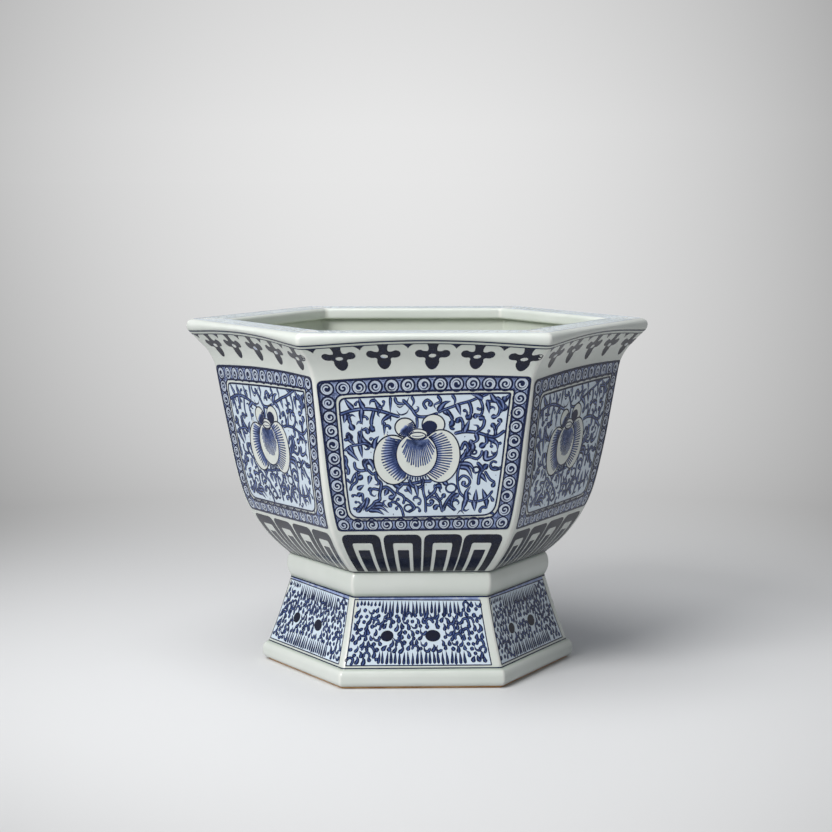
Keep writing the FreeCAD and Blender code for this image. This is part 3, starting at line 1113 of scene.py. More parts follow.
def scatter_tree() -> Tree:
    """A tree that repeats a piece on points, turned by their mark turn and sized by their mark size."""
    sizes = {"Piece": ("Object", None), "Jitter": ("Float", 0.0), "Seed": ("Int", 1)}
    tree, given, result = new_tree("repeated_dabs", sizes | {"Material": ("Material", None)})
    piece = add_node(tree, "GeometryNodeObjectInfo", {"Object": given.outputs["Piece"]})
    turn = add_node(tree, "GeometryNodeInputNamedAttribute", {"Name": "turn"}, data_type="FLOAT")
    size = add_node(tree, "GeometryNodeInputNamedAttribute", {"Name": "size"}, data_type="FLOAT")
    shake = add_node(tree, "ShaderNodeMath", {0: given.outputs["Jitter"], 1: -1.0}, operation="MULTIPLY")
    inputs = {2: shake, 3: given.outputs["Jitter"], "Seed": given.outputs["Seed"]}
    random_turn = add_node(tree, "FunctionNodeRandomValue", inputs)
    both = add_node(tree, "ShaderNodeMath", {0: turn.outputs["Attribute"], 1: random_turn.outputs[1]})
    axis = add_node(tree, "ShaderNodeCombineXYZ", {"Z": both})
    rotation = add_node(tree, "FunctionNodeEulerToRotation", {0: axis})
    inputs = {"X": size.outputs["Attribute"], "Y": size.outputs["Attribute"], "Z": 1.0}
    flat_size = add_node(tree, "ShaderNodeCombineXYZ", inputs)
    inputs = {
        "Points": given.outputs["Geometry"],
        "Instance": piece.outputs["Geometry"],
        "Rotation": rotation,
        "Scale": flat_size,
    }
    copies = add_node(tree, "GeometryNodeInstanceOnPoints", inputs)
    finish(tree, copies.outputs[0], given, result)
    return tree


class Trees:
    """The geometry trees of the painting, each made once."""

    def __init__(self, material: Material) -> None:
        """Builds the trees, which paint in a material until their work is laid on a wall."""
        self.material = material
        self.brush, self.curls, self.scatter = brush_tree(), curl_tree(), scatter_tree()

    def run(self, start: Thing, tree: Tree, inputs: dict[str, Any]) -> Flat:
        """Runs a tree on a scratch object and returns what it painted."""
        flat = Flat.of(bake_nodes(start, tree, inputs | {"Material": self.material}).data)
        self.discard(start)
        return flat

    @staticmethod
    def discard(thing: Thing) -> None:
        """Removes a scratch object and its mesh."""
        mesh = thing.data
        bpy.data.objects.remove(thing)
        bpy.data.meshes.remove(mesh)

    @staticmethod
    def dots(
        points: Sequence[Point],
        marks: Optional[dict[str, Sequence[float]]] = None,
        edges: Sequence[tuple[int, int]] = (),
    ) -> Thing:
        """A scratch object of points on the board, with marks, and with edges between them."""
        mesh = bpy.data.meshes.new("board_points")
        mesh.from_pydata([(x, y, 0.0) for x, y in points], list(edges), [])
        for name, values in (marks or {}).items():
            store(mesh, name, np.array(values))
        thing = bpy.data.objects.new("board_points", mesh)
        bpy.context.scene.collection.objects.link(thing)
        return thing

    def strokes(self, strokes: Sequence[Stroke], step: float = 1.1) -> Flat:
        """Paints strokes.

        Args:
            strokes: the strokes on the board.
            step: distance between samples along them.

        Returns:
            The painted strokes as one flat.
        """
        points, edges, marks = [], [], {"half": [], "tone": [], "core": []}
        for stroke in strokes:
            path_of = straight_path if stroke.sharp else smooth_path
            path = path_of(stroke.points, stroke.closed, min(step, max(0.35, stroke.brush.width * 0.45)))
            first = len(points)
            points += path.tolist()
            edges += [(first + i, first + i + 1) for i in range(len(path) - 1)]
            if stroke.closed:
                edges.append((first + len(path) - 1, first))
                half = np.full(len(path), stroke.brush.width / 2)
            else:
                half = half_widths(path, stroke.brush)
            marks["half"] += half.tolist()
            marks["tone"] += [stroke.brush.tone] * len(path)
            marks["core"] += [stroke.brush.core] * len(path)
        return self.run(self.dots(points, marks, edges), self.brush, {})

    def repeated(
        self,
        piece: Flat,
        points: Sequence[Point],
        seed: int,
        jitter: float = 0.0,
        turns: Sequence[float] = (),
        sizes: Sequence[float] = (),
    ) -> Flat:
        """Repeats a piece on points.

        Args:
            piece: the shape, drawn round the board's origin.
            points: where the copies go.
            seed: seed of the chance.
            jitter: the most that chance turns a copy further.
            turns: how far each is turned, in radians, or nothing for not at all.
            sizes: each copy's scale, or nothing for full size.

        Returns:
            All copies as one flat.
        """
        master = piece.mesh_object("repeated_piece")
        marks = {"turn": turns or [0.0] * len(points), "size": sizes or [1.0] * len(points)}
        inputs = {"Piece": master, "Jitter": jitter, "Seed": seed}
        flat = self.run(self.dots(points, marks), self.scatter, inputs)
        self.discard(master)
        return flat


@dataclass
class Picture:
    """What is painted on one side of a wall, coat by coat.

    Attributes:
        wall: the surface that the painting follows.
        side: which side it is on.
        start: length along the wall's outline where the board's y is 0.
        board_half: the board's half width.
        shapes: the flats of each coat.
    """

    wall: Wall
    side: int
    start: float = 0.0
    board_half: float = BOARD_HALF
    shapes: dict[Coat, list[Flat]] = field(default_factory=dict)

    GLUE = -0.12  # how deep the painting's underside lies in the glaze, in millimetres

    def add(self, coat: Coat, *flats: Flat) -> None:
        """Adds flats to a coat."""
        self.shapes.setdefault(coat, []).extend(flats)

    def lay(self, coat: Coat) -> tuple[np.ndarray, Flat]:
        """Where a coat's points lie on the wall, and its flat."""
        flat = Flat.joined(self.shapes[coat])
        x, y, z = flat.points.T
        s = y + self.start
        along = x * self.wall.half_width(s) / self.board_half
        return self.wall.place(self.side, along, s, np.where(z > 0, coat.value, self.GLUE)), flat


def paint_object(name: str, placed: np.ndarray, flat: Flat, material: Material) -> Thing:
    """Makes one coat of one side an object, with a flat map of the board for its textures.

    Args:
        name: the object's name.
        placed: where the coat's points lie on the wall.
        flat: the coat as it lies on the board.
        material: the cobalt or the reserve.

    Returns:
        The painting as a closed mesh.
    """
    thing = new_object(name, placed, flat.faces)
    for mark, values in flat.marks.items():
        store(thing.data, mark, values)
    low, high = flat.points[:, :2].min(0), flat.points[:, :2].max(0)
    board = (flat.points[:, :2] - low) / max(high - low)
    corners = np.zeros(len(thing.data.loops), int)
    thing.data.loops.foreach_get("vertex_index", corners)
    thing.data.uv_layers.new(name="OFBake").data.foreach_set("uv", board[corners].ravel())
    thing.data.materials.append(material)
    return thing


@dataclass(frozen=True)
class Cobalt:
    """Cobalt brushed on the raw clay and covered by the glaze.

    It looks blue-black where the brush left a full load, at the edges of its strokes, and paler
    and more violet where the colour ran thin in the middle, under the same wet gloss.
    """

    name: str = "underglaze_cobalt_brushed"
    bare: str = "#dce0da"
    thin: str = "#9cabd2"
    middle: str = "#465c92"
    full: str = "#0d1c44"
    black: str = "#080c1c"
    roughness: float = 0.13

    def make(self) -> Material:
        """Builds the material."""
        material, tree, surface = new_material(self.name)
        marks = {}
        for mark in Flat.MARKS:
            marks[mark] = add_node(tree, "ShaderNodeAttribute", attribute_name=mark).outputs["Fac"]
        across = add_node(tree, "ShaderNodeMath", {0: marks["across"]}, operation="ABSOLUTE").outputs[0]
        edge = spread(tree, across, 0, 1, 0.2, 0.6)
        inputs = {0: edge, 2: marks["core"], 3: marks["tone"]}
        tone = add_node(tree, "ShaderNodeMix", inputs, data_type="FLOAT").outputs[0]
        load = spread(tree, mottle(tree, 5, 3), -0.16, 0.16, 0.3, 0.7)
        loaded = add_node(tree, "ShaderNodeMath", {0: load, 1: tone})
        shade = add_node(tree, "ShaderNodeMath", {0: loaded, 1: 0.5}, operation="MULTIPLY").outputs[0]
        ramp_node = add_node(tree, "ShaderNodeValToRGB", {"Fac": shade})
        stops = ramp_node.color_ramp.elements
        stops[0].position, stops[0].color = 0.0, linear(self.bare)
        stops[1].position, stops[1].color = 1.0, linear(self.black)
        for position, colour in ((0.09, self.thin), (0.27, self.middle), (0.48, self.full)):
            stops.new(position).color = linear(colour)
        tree.links.new(ramp_node.outputs[0], surface.inputs["Base Color"])
        glaze_gloss(tree, surface, self.roughness)
        surface.inputs["Specular IOR Level"].default_value = 0.3
        return material


@dataclass(frozen=True)
class Reserve:
    """Glaze over clay that the painter left white between blue lines.

    It looks a little bluer than the open glaze, because the cobalt beside it bleeds.
    """

    name: str = "reserved_white_under_glaze"
    white: str = "#dce0da"
    bled: str = "#a3b3d3"
    roughness: float = 0.13

    def make(self) -> Material:
        """Builds the material."""
        material, tree, surface = new_material(self.name)
        across = add_node(tree, "ShaderNodeAttribute", attribute_name="across").outputs["Fac"]
        core = add_node(tree, "ShaderNodeAttribute", attribute_name="core").outputs["Fac"]
        edge = add_node(tree, "ShaderNodeMath", {0: across}, operation="ABSOLUTE").outputs[0]
        at_edge = spread(tree, edge, 0.35, 0.9, 0.2, 0.9)
        in_clouds = spread(tree, mottle(tree, 7, 2), 0, 0.6, 0.4, 0.75)
        colour: Any = self.white
        for amount in (at_edge, in_clouds):
            bleed = add_node(tree, "ShaderNodeMath", {0: amount, 1: core}, operation="MULTIPLY").outputs[0]
            colour = blend_colours(tree, bleed, colour, self.bled)
        tree.links.new(colour, surface.inputs["Base Color"])
        glaze_gloss(tree, surface, self.roughness)
        return material


# ---- motifs -------------------------------------------------------------------------------------
def ellipse(centre: Point, rx: float, ry: float, count: int, sweep_by: float = 360.0) -> list[Point]:
    """Points round an ellipse, or along its first part in degrees, counter-clockwise from its right."""
    steps = count if sweep_by >= 360 else count - 1
    turns = [math.radians(sweep_by * i / steps) for i in range(count)]
    return [(centre[0] + rx * math.cos(t), centre[1] + ry * math.sin(t)) for t in turns]


def partway(start: Point, end: Point, share: float) -> Point:
    """The point at a share of the way from start to end."""
    return start[0] + share * (end[0] - start[0]), start[1] + share * (end[1] - start[1])


def oval_reach(point: Point, oval: Oval) -> float:
    """How far a point lies from an oval's middle, where 1 is on its edge."""
    x, y, rx, ry = oval
    return math.hypot((point[0] - x) / rx, (point[1] - y) / ry)


def level_line(level: float, half: float, brush: Brush) -> Stroke:
    """A straight level line, half its length to each side of the board's middle."""
    return Stroke(((-half, level), (half, level)), brush, sharp=True)


def box_corners(middle: float, half: float, low: float, high: float) -> list[Point]:
    """The corners of an upright rectangle, from the lower left."""
    return [(middle - half, low), (middle + half, low), (middle + half, high), (middle - half, high)]


def rounded_loop(corners: Sequence[Point], radii: Sequence[float], count: int = 7) -> list[Point]:
    """A closed outline with rounded corners, with count points on each.

    Args:
        corners: the corners in turn.
        radii: how far back from each corner its round starts.
        count: points on each round.

    Returns:
        The outline's points.
    """
    loop = []
    for i, (x, y) in enumerate(corners):
        corner = np.array((x, y), float)
        before, after = np.array(corners[i - 1], float), np.array(corners[(i + 1) % len(corners)], float)
        start = corner + (before - corner) / math.dist(before, corner) * radii[i]
        end = corner + (after - corner) / math.dist(after, corner) * radii[i]
        for t in np.linspace(0, 1, count):
            loop.append(tuple((1 - t) ** 2 * start + 2 * t * (1 - t) * corner + t**2 * end))
    return loop


def ring_quads(outer: Sequence[Point], inner: Sequence[Point]) -> list[tuple[Point, ...]]:
    """The quads between two closed outlines with as many points each."""
    pairs = list(zip(outer, inner))
    return [(a, c, d, b) for (a, b), (c, d) in zip(pairs, pairs[1:] + pairs[:1])]


@dataclass
class Panel:
    """The framed panel on each side of the pot: a border of curls round a field of lotus scroll.

    Board sizes. Y is 0 at the field's middle.
    """

    outer: tuple[Point, ...] = ((-78.2, -66.4), (79.4, -65.0), (82.4, 63.8), (-81.8, 60.4))
    field: tuple[Point, ...] = ((-64.8, -54.6), (64.2, -52.4), (68.2, 50.6), (-66.2, 46.4))
    outer_radii: tuple[float, ...] = (2.5, 2.5, 3.0, 5.0)
    field_radii: tuple[float, ...] = (9.0, 11.0, 1.5, 6.0)
    line: float = 1.4
    outer_line: float = 1.9
    white_line: float = 1.6
    curl_counts: tuple[int, ...] = (11, 10, 12, 10)
    curl_radius: float = 4.15
    curl_white: float = 1.2
    curl_ground: float = 6.1  # radius of the dark spot that each curl is left out of

    def inset(self, corners: Sequence[Point], by: float) -> list[Point]:
        """The corners moved towards the board's middle, or outwards where by is negative."""
        return [(x - by * math.copysign(1, x), y - by * math.copysign(1, y)) for x, y in corners]

    def curl_places(self) -> list[Point]:
        """The middles of the border's curls."""
        inner = self.inset(self.field, -2.0)
        band = [((a + c) / 2, (b + d) / 2) for (a, b), (c, d) in zip(self.outer, inner)]
        places = []
        for (start, end), count in zip(zip(band, band[1:] + band[:1]), self.curl_counts):
            for i in range(count):
                places.append(partway(start, end, i / count))
        return places

    def paint(self, picture: Picture, trees: Trees, seed: int) -> None:
        """Paints the panel's frame and border."""
        outer = rounded_loop(self.outer, self.outer_radii)
        gap = self.white_line + self.line
        band_edge = rounded_loop(self.inset(self.field, -gap), [r + 1.5 for r in self.field_radii])
        inner = rounded_loop(self.field, self.field_radii)
        picture.add(Coat.GROUND, filled([inner], 0, (6.0, 2.0)))
        picture.add(Coat.WASH, filled(ring_quads(outer, band_edge), 0.25))
        lines = []
        for loop, width in ((outer, self.outer_line), (band_edge, self.line), (inner, self.line)):
            lines.append(Stroke(tuple(loop), Brush(width, tone=1.15, core=1.05), closed=True))
        picture.add(Coat.TOP, trees.strokes(lines))
        places = self.curl_places()
        picture.add(Coat.LINE, self.webs(places, trees), self.grounds(places, trees, seed))
        picture.add(Coat.RESERVE, *self.curls(places, trees, seed))

    def grounds(self, places: Sequence[Point], trees: Trees, seed: int) -> Flat:
        """The dark spots that the curls are left out of."""
        return trees.repeated(disc(self.curl_ground, 1.3, 1.02), places, seed)

    def curls(self, places: Sequence[Point], trees: Trees, seed: int) -> list[Flat]:
        """The white curls: two kinds of spiral, each way round, and rings round a spot."""
        kinds = (
            {"Eye": 0.3, "Pitch": 2.8, "Turns": 2.45, "Reverse": False},
            {"Eye": 1.0, "Pitch": 2.7, "Turns": 2.3, "Reverse": False},
            {"Eye": 0.3, "Pitch": 3.0, "Turns": 2.4, "Reverse": True},
            {"Eye": 1.5, "Pitch": 2.5, "Turns": 2.3, "Reverse": True},
        )
        shared = {"Radius": self.curl_radius, "Width": self.curl_white, "Tone": 0.0, "Core": 0.9}
        painted = []
        for i, kind in enumerate(kinds):
            own = places[(i * 3) % 4 :: len(kinds)]
            painted.append(trees.run(trees.dots(own), trees.curls, kind | shared | {"Seed": seed + i}))
        return painted

    def webs(self, places: Sequence[Point], trees: Trees) -> Flat:
        """Short hatching that fills the gaps between neighbouring curls."""
        strokes = []
        hatch = Brush(0.8, (Tip.POINT, Tip.POINT), 1.0, 0.9)
        for (ax, ay), (bx, by) in zip(places, list(places[1:]) + [places[0]]):
            middle = np.array(((ax + bx) / 2, (ay + by) / 2))
            gap = math.dist((ax, ay), (bx, by))
            if gap > 16:
                continue
            forward = np.array((bx - ax, by - ay)) / gap
            across = np.array((-forward[1], forward[0]))
            for edge in (-1, 1):
                for reach, width in ((4.3, 1.5), (5.6, 3.4)):
                    tip = middle + edge * reach * across
                    ends = (tip - width * forward, tip - edge * 0.5 * across, tip + width * forward)
                    strokes.append(Stroke(tuple(tuple(end) for end in ends), hatch))
        return trees.strokes(strokes)


@dataclass
class LotusHead:
    """The flower in the middle of the panel. Board sizes."""

    left: Oval = (-24.9, -4.8, 16.2, 20.8)
    right: Oval = (14.6, -1.7, 16.2, 22.2)
    centre: Oval = (-5.2, -0.6, 17.0, 18.3)
    upper_left: Oval = (-14.6, 22.5, 8.1, 7.8)
    upper_right: Oval = (8.3, 24.8, 9.1, 8.6)
    button: Oval = (-4.4, 16.3, 8.3, 4.9)
    spot: Oval = (5.4, 23.2, 6.0, 5.0)
    side_hairs: int = 24
    fan_hairs: int = 19
    hair_reach: float = 13.0
    hair: Brush = Brush(1.15, (Tip.ROUND, Tip.ROUND), 0.9, 0.65)
    shade: Brush = Brush(1.8, (Tip.ROUND, Tip.POINT), 0.85, 0.8)

    def petals(self) -> list[Oval]:
        """The petals, from the hindmost to the one in front."""
        return [self.upper_left, self.upper_right, self.left, self.right, self.centre]

    def hidden(self, petal: Oval, point: Point) -> bool:
        """Whether a petal in front covers a point of a petal's outline."""
        later = self.petals()[self.petals().index(petal) + 1 :] + [self.button]
        return any(oval_reach(point, oval) < 0.985 for oval in later)

    def outlines(self) -> list[Stroke]:
        """The petals' outlines where nothing covers them."""
        strokes = []
        for petal in self.petals():
            x, y, rx, ry = petal
            run: list[Point] = []
            for point in ellipse((x, y), rx, ry, 73, 359.9) * 2:
                if self.hidden(petal, point):
                    if len(run) > 2:
                        strokes.append(Stroke(tuple(run[::3] + [run[-1]]), Brush(1.1)))
                    run = []
                elif len(run) < 73:
                    run.append(point)
            if len(run) > 70:
                strokes.append(Stroke(tuple(run[:72:3]), Brush(1.1), closed=True))
        return strokes

    def hairs(self, chance: random.Random) -> list[Stroke]:
        """Hairlines that shade the petals from their roots outwards."""
        strokes = []
        cx, cy, rx, ry = self.centre
        for side, first, last in ((1, 64, -62), (-1, 116, 244)):
            petal = self.right if side > 0 else self.left
            for i in range(self.side_hairs):
                share = i / (self.side_hairs - 1)
                turn = math.radians(first + (last - first) * share)
                start = (cx + rx * math.cos(turn), cy + ry * math.sin(turn))
                reach = self.hair_reach * (0.8 + 0.2 * math.sin(math.pi * share)) + chance.uniform(-0.4, 0.4)
                lean = turn * 0.7 if side > 0 else math.radians(196) + (turn - math.pi) * 0.76
                end = (start[0] + reach * math.cos(lean), start[1] + reach * math.sin(lean) * 0.8)
                while oval_reach(end, petal) > 0.9 and math.dist(start, end) > 1:
                    end = partway(start, end, 0.9)
                strokes.append(Stroke((start, end), self.hair))
                if side < 0 and share < 0.5:
                    strokes.append(Stroke((start, partway(start, end, 0.62)), self.shade))
                elif share < 0.16:
                    strokes.append(Stroke((start, partway(start, end, 0.45)), self.shade))
        return strokes + self.fan(chance) + self.hatching(chance)

    def washes(self) -> list[Flat]:
        """Washes that run out away from the flower's heart, on the petals and round the button."""
        cx, cy, rx, ry = self.centre
        washes = []
        for first, last, wide, narrow, depth in ((146, 238, 14.0, 8.0, 0.95), (58, -50, 9.0, 4.0, 0.5)):
            ring = []
            for i in range(17):
                turn = math.radians(first + (last - first) * i / 16)
                cos, sin = math.cos(turn), math.sin(turn)
                far = wide + (narrow - wide) * i / 16
                ring.append([(cx + (rx + d) * cos, cy + (ry + d) * sin) for d in (0, far)])
            quads = [(a, b, d, c) for (a, b), (c, d) in zip(ring, ring[1:])]
            wash = filled(quads, 0, (1.5, 1.5))
            x, y = wash.points[:, 0], wash.points[:, 1]
            out = (np.hypot((x - cx) / rx, (y - cy) / ry) - 1) * rx
            start = math.radians(first)
            share = np.abs(np.angle(np.exp(1j * (np.arctan2((y - cy) / ry, (x - cx) / rx) - start))))
            limit = wide + (narrow - wide) * share / abs(math.radians(last - first))
            wash.marks["tone"] = wash.marks["core"] = depth * (1 - out / limit) - 0.12
            washes.append(wash)
        x, y = self.button[:2]
        spots = ((0.2, -7.2, 12.5, 8.4, 0.6), (-9.0, 3.2, 7.6, 6.6, 1.1), (8.4, 3.0, 5.4, 4.6, 2.0))
        for dx, dy, wide, tall, depth in spots:
            smudge = disc(1.0, -0.12, depth)
            smudge.marks["across"] = smudge.marks["across"] * 0.72
            smudge.points[:, :2] = smudge.points[:, :2] * (wide, tall) + (x + dx, y + dy)
            washes.append(smudge)
        return washes

    def fan(self, chance: random.Random) -> list[Stroke]:
        """The hairlines that fall from the button over the petal in front."""
        strokes = []
        x, y = self.button[0], self.button[1] - self.button[3] + 0.4
        for i in range(self.fan_hairs):
            t = 2 * i / (self.fan_hairs - 1) - 1
            low = -10.6 + 15.5 * abs(t) ** 2 + chance.uniform(-0.7, 0.7)
            root, tip = (x + 8.0 * t, y + 1.2 * t * t), (x + 0.6 + 14.0 * math.sin(t * 1.35), low)
            strokes.append(Stroke((root, tip), replace(self.hair, tone=0.8, core=0.5)))
            near = partway(root, tip, chance.uniform(0.36, 0.5))
            strokes.append(Stroke((root, near), Brush(1.3, (Tip.ROUND, Tip.POINT), 0.6, 0.4)))
        return strokes

    def hatching(self, chance: random.Random) -> list[Stroke]:
        """The short strokes in the upper left petal, and the tuft under the petal in front."""
        strokes = []
        x, y, rx, ry = self.upper_left
        for i in range(14):
            turn = math.radians(-130 + 165 * i / 13)
            start = (x + 0.98 * rx * math.cos(turn), y + 0.98 * ry * math.sin(turn))
            reach = 8.4 - 4.0 * abs(i - 7) / 7 + chance.uniform(-0.6, 0.6)
            end = (start[0] - reach * math.cos(turn - 0.2), start[1] - reach * math.sin(turn - 0.2))
            strokes.append(Stroke((start, end), Brush(1.15, (Tip.ROUND, Tip.POINT), 1.0, 0.75)))
        x, y, rx, ry = self.centre
        for i in range(9):
            turn = math.radians(238 + 56 * i / 8)
            start = (x + 1.03 * rx * math.cos(turn), y + 1.03 * ry * math.sin(turn))
            out = start[0] + 2.2 * math.cos(turn) + chance.uniform(-0.5, 0.5)
            end = (out, start[1] - chance.uniform(3.6, 5.2))
            strokes.append(Stroke((start, end), Brush(1.5, (Tip.ROUND, Tip.POINT), 1.15, 0.7)))
        return strokes

    def paint(self, picture: Picture, trees: Trees, seed: int) -> None:
        """Paints the flower."""
        chance = random.Random(seed)
        for x, y, rx, ry in self.petals():
            picture.add(Coat.RESERVE, filled([ellipse((x, y), rx, ry, 36)], 0))
        x, y, rx, ry = self.button
        picture.add(Coat.BUTTON, filled([ellipse((x, y), rx, ry, 32)], 0))
        marks = self.outlines() + self.hairs(chance)
        edge = ellipse((x, y + 0.2), rx - 0.3, ry - 0.2, 16)
        lips = ellipse((x, y - 0.7), rx * 0.78, ry * 0.56, 16)
        for loop, width in ((edge, 0.9), (lips, 1.0)):
            marks.append(Stroke(tuple(loop), Brush(width, tone=1.2), closed=True))
        marks.append(Stroke(((x - 4.8, y - 0.9), (x, y - 1.3), (x + 4.8, y - 0.7)), Brush(0.7, tone=0.8)))
        picture.add(Coat.TOP, trees.strokes(marks))
        sx, sy, srx, sry = self.spot
        picture.add(Coat.TOP, filled([ellipse((sx, sy), srx, sry, 20)], 1.1))
        picture.add(Coat.SHADE, *self.washes())


@dataclass
class Pendants:
    """The row of trefoil drops that hangs from a line under the rim. Board sizes, y down from the line."""

    shares: tuple[float, ...] = (-0.77, -0.36, 0.08, 0.49, 0.92)
    line_s: float = 211.0
    roll_line_s: float = 214.6

    def drop(self) -> Flat:
        """One drop, with its neck at the origin."""
        half = [(4.2, 0.6), (3.2, -2.4), (3.0, -5.6), (3.6, -7.4), (6.2, -7.4), (8.4, -6.2), (10.9, -6.9)]
        half += [(12.2, -9.4), (11.4, -12.4), (8.9, -13.8), (6.0, -13.9), (4.9, -15.0), (5.1, -18.0)]
        half += [(4.2, -21.0), (2.2, -23.6), (0.0, -24.4)]
        outline = smooth_path(half + [(-x, y) for x, y in half[-2::-1]], False, 1.2)
        return filled([[tuple(p) for p in outline]], 1.75)

    def web(self) -> Flat:
        """The small triangle that hangs between two drops."""
        outline = [(-5.4, 0.5), (5.4, 0.5), (2.6, -1.0), (0.9, -3.0), (0, -4.7), (-0.9, -3.0), (-2.6, -1.0)]
        return filled([outline], 1.6)

    def paint(self, picture: Picture, trees: Trees, seed: int) -> None:
        """Paints the drops, the triangles between them and the two lines."""
        chance = random.Random(seed)
        level = self.line_s - picture.start
        drops = [(share * BOARD_HALF * 0.93, level) for share in self.shares]
        sizes = [chance.uniform(0.95, 1.04) for _ in drops]
        turns = [chance.uniform(-0.05, 0.05) for _ in drops]
        picture.add(Coat.LINE, trees.repeated(self.drop(), drops, seed, 0.0, turns, sizes))
        gaps = [((a[0] + b[0]) / 2, level) for a, b in zip(drops, drops[1:])] + [(drops[0][0] - 16.5, level)]
        picture.add(Coat.LINE, trees.repeated(self.web(), gaps, seed, 0.05))
        eyes = [(x, y - 12.4) for x, y in drops]
        eye = filled([ellipse((0, 0), 2.7, 1.8, 14)], 0)
        picture.add(Coat.TOP, trees.repeated(eye, eyes, seed, 0.3))
        lines = [
            level_line(s - picture.start, BOARD_HALF * PAST_CORNERS, Brush(width, tone=1.1))
            for s, width in ((self.line_s + 0.2, 0.9), (self.roll_line_s, 1.7))
        ]
        picture.add(Coat.LINE, trees.strokes(lines, 4.0))


@dataclass
class Lappets:
    """The row of dark arches round the pot's foot, each with a white arch inside and a bar. Board sizes."""

    middles: tuple[float, ...] = (-59.2, -19.6, 20.4, 59.6)
    half: float = 18.6
    bottom: float = 2.4
    top: float = 47.0
    corner: float = 7.0
    band: float = 8.8
    white: float = 3.9
    bar_top: float = 30.4
    foot_line_s: float = 0.9

    def arch(self) -> list[list[Point]]:
        """The dark arch, drawn about x = 0."""
        low, high, half = self.bottom, self.top, self.half
        outside = rounded_loop(box_corners(0.0, half, low, high), [0.4, 0.4, self.corner, self.corner])
        inner = box_corners(0.0, half - self.band, low, high - self.band)
        inside = rounded_loop(inner, [0.1, 0.1, 2.5, 2.5])
        split = len(outside) // 4
        quads = ring_quads(outside, inside)
        return [quad for i, quad in enumerate(quads) if i != split - 1]

    def paint(self, picture: Picture, trees: Trees, seed: int) -> None:
        """Paints the arches, their bars and the line at the pot's foot."""
        chance = random.Random(seed)
        shift = -picture.start
        arches, bars = [], []
        bar = self.half - self.band - self.white
        for middle in self.middles:
            x = middle + chance.uniform(-0.5, 0.5)
            lift = chance.uniform(-0.7, 0.7)
            tall = (self.top + lift - self.bottom) / (self.top - self.bottom)
            for quad in self.arch():
                arches.append([(x + px, self.bottom + (py - self.bottom) * tall + shift) for px, py in quad])
            corners = box_corners(x, bar, self.bottom, self.bar_top + lift)
            bars.append([(px, py + shift) for px, py in rounded_loop(corners, [0.3, 0.3, 0.8, 0.8], 3)])
        picture.add(Coat.LINE, filled(arches, 1.8, (8.0, 2.0)), filled(bars, 1.75, (8.0, 2.0)))
        foot_line = level_line(self.foot_line_s + shift, BOARD_HALF * PAST_CORNERS, Brush(0.9, tone=1.3))
        picture.add(Coat.LINE, trees.strokes([foot_line], 4.0))


# ---- the scroll round the flower, in board millimetres ------------------------------------------
STEMS: Lines = (
    ((-65.6, -0.6), (-63.8, -5.3), (-64.4, -8.7), (-62.7, -13.6), (-63.6, -17.5)),
    ((56.1, -8.5), (58.4, -12.5), (62.5, -12.9), (66.8, -11.1)),
    ((17.9, -47.5), (20.7, -41.3), (24.7, -35.5), (28.4, -32.2)),
    ((-61.3, -23.9), (-57.7, -17.1), (-52.8, -14.1)),
    ((-11.2, -21.1), (-10.1, -25.3), (-6.2, -28.3), (-0.6, -27.1), (0.5, -20.4)),
    ((-66.7, 32.8), (-61.3, 34.7), (-53.3, 36.9), (-43, 37.4), (-36.5, 36.4), (-29.9, 34.7),
     (-25.2, 33), (-18.2, 30.9)),
    ((-65.1, 2.7), (-59.9, 6.6), (-53.3, 8.1), (-47.7, 9), (-43, 7.1), (-39.7, 5.6)),
    ((11.8, 34.6), (17.2, 37.2), (24.1, 39.7), (29.6, 41.8), (37, 43.8), (44.4, 46.9), (51.9, 50)),
    ((49.4, 44.3), (59.3, 43.3), (66.2, 40.2)),
    ((25.1, 17.2), (32, 18.7), (39.5, 18.7), (46.9, 17.2), (52.8, 15.2), (59.3, 14.6), (66.7, 19.8)),
    ((-57.4, -6.1), (-56.5, -12.1), (-51.5, -14), (-47, -13.1), (-42.4, -16.8), (-38.8, -15.4), (-33, -16)),
    ((-56.5, -14.5), (-56.5, -22.9), (-60.5, -26.2), (-63, -31)),
    ((-40.2, -16.4), (-39.7, -21), (-36.1, -24.8), (-36.5, -29.5), (-37.9, -35.1),
     (-37.9, -38.9), (-42.4, -41.2), (-44.2, -43.5), (-51.5, -49.1)),
    ((0.3, -20), (0.3, -31.4), (2.2, -38.8), (2.7, -50.2)),
    ((10.4, -24.9), (10.8, -30.4), (5.1, -36.3), (2.4, -39)),
    ((15.2, -39.3), (16.6, -46.2), (18, -50.2)),
    ((5.1, -37.3), (9.4, -36.8), (14.2, -40.3), (15.4, -43)),
    ((18.5, -49.2), (20.9, -43.3), (22.8, -43.3), (26.2, -46.3), (29.5, -48.8)),
    ((30.5, -9.1), (29.1, -16.5), (29.1, -21.5), (30, -27.4), (32, -32.8),
     (36.8, -37.3), (40.6, -39.8), (46.8, -40.3), (55, -37.8), (60.3, -30.9)),
    ((30.5, -9.1), (34.8, -3.6), (38.7, -2.6), (44.9, -4.1), (48.3, -0.7), (48.8, 3.3)),
    ((45.4, -6.6), (50.2, -12.5), (48.3, -17.5), (47.8, -26.4)),
    ((-17, -24.8), (-22.5, -31.4), (-17.5, -35.1), (-16.1, -37.5), (-17.5, -42.6)),
    ((-28, -19), (-24, -23.5), (-17, -24.8), (-9, -24.5), (0.3, -22.8), (8, -22.4)),
    ((-16, -37), (-9, -42.6), (-7, -46), (-13, -50)),
    ((-4.9, 31.5), (-4.6, 26.5), (-4.8, 21.5)),
    ((-16.5, 45.6), (-9.5, 38.4), (-5.0, 32.4), (2.4, 31.6), (11.8, 34.6)),
)
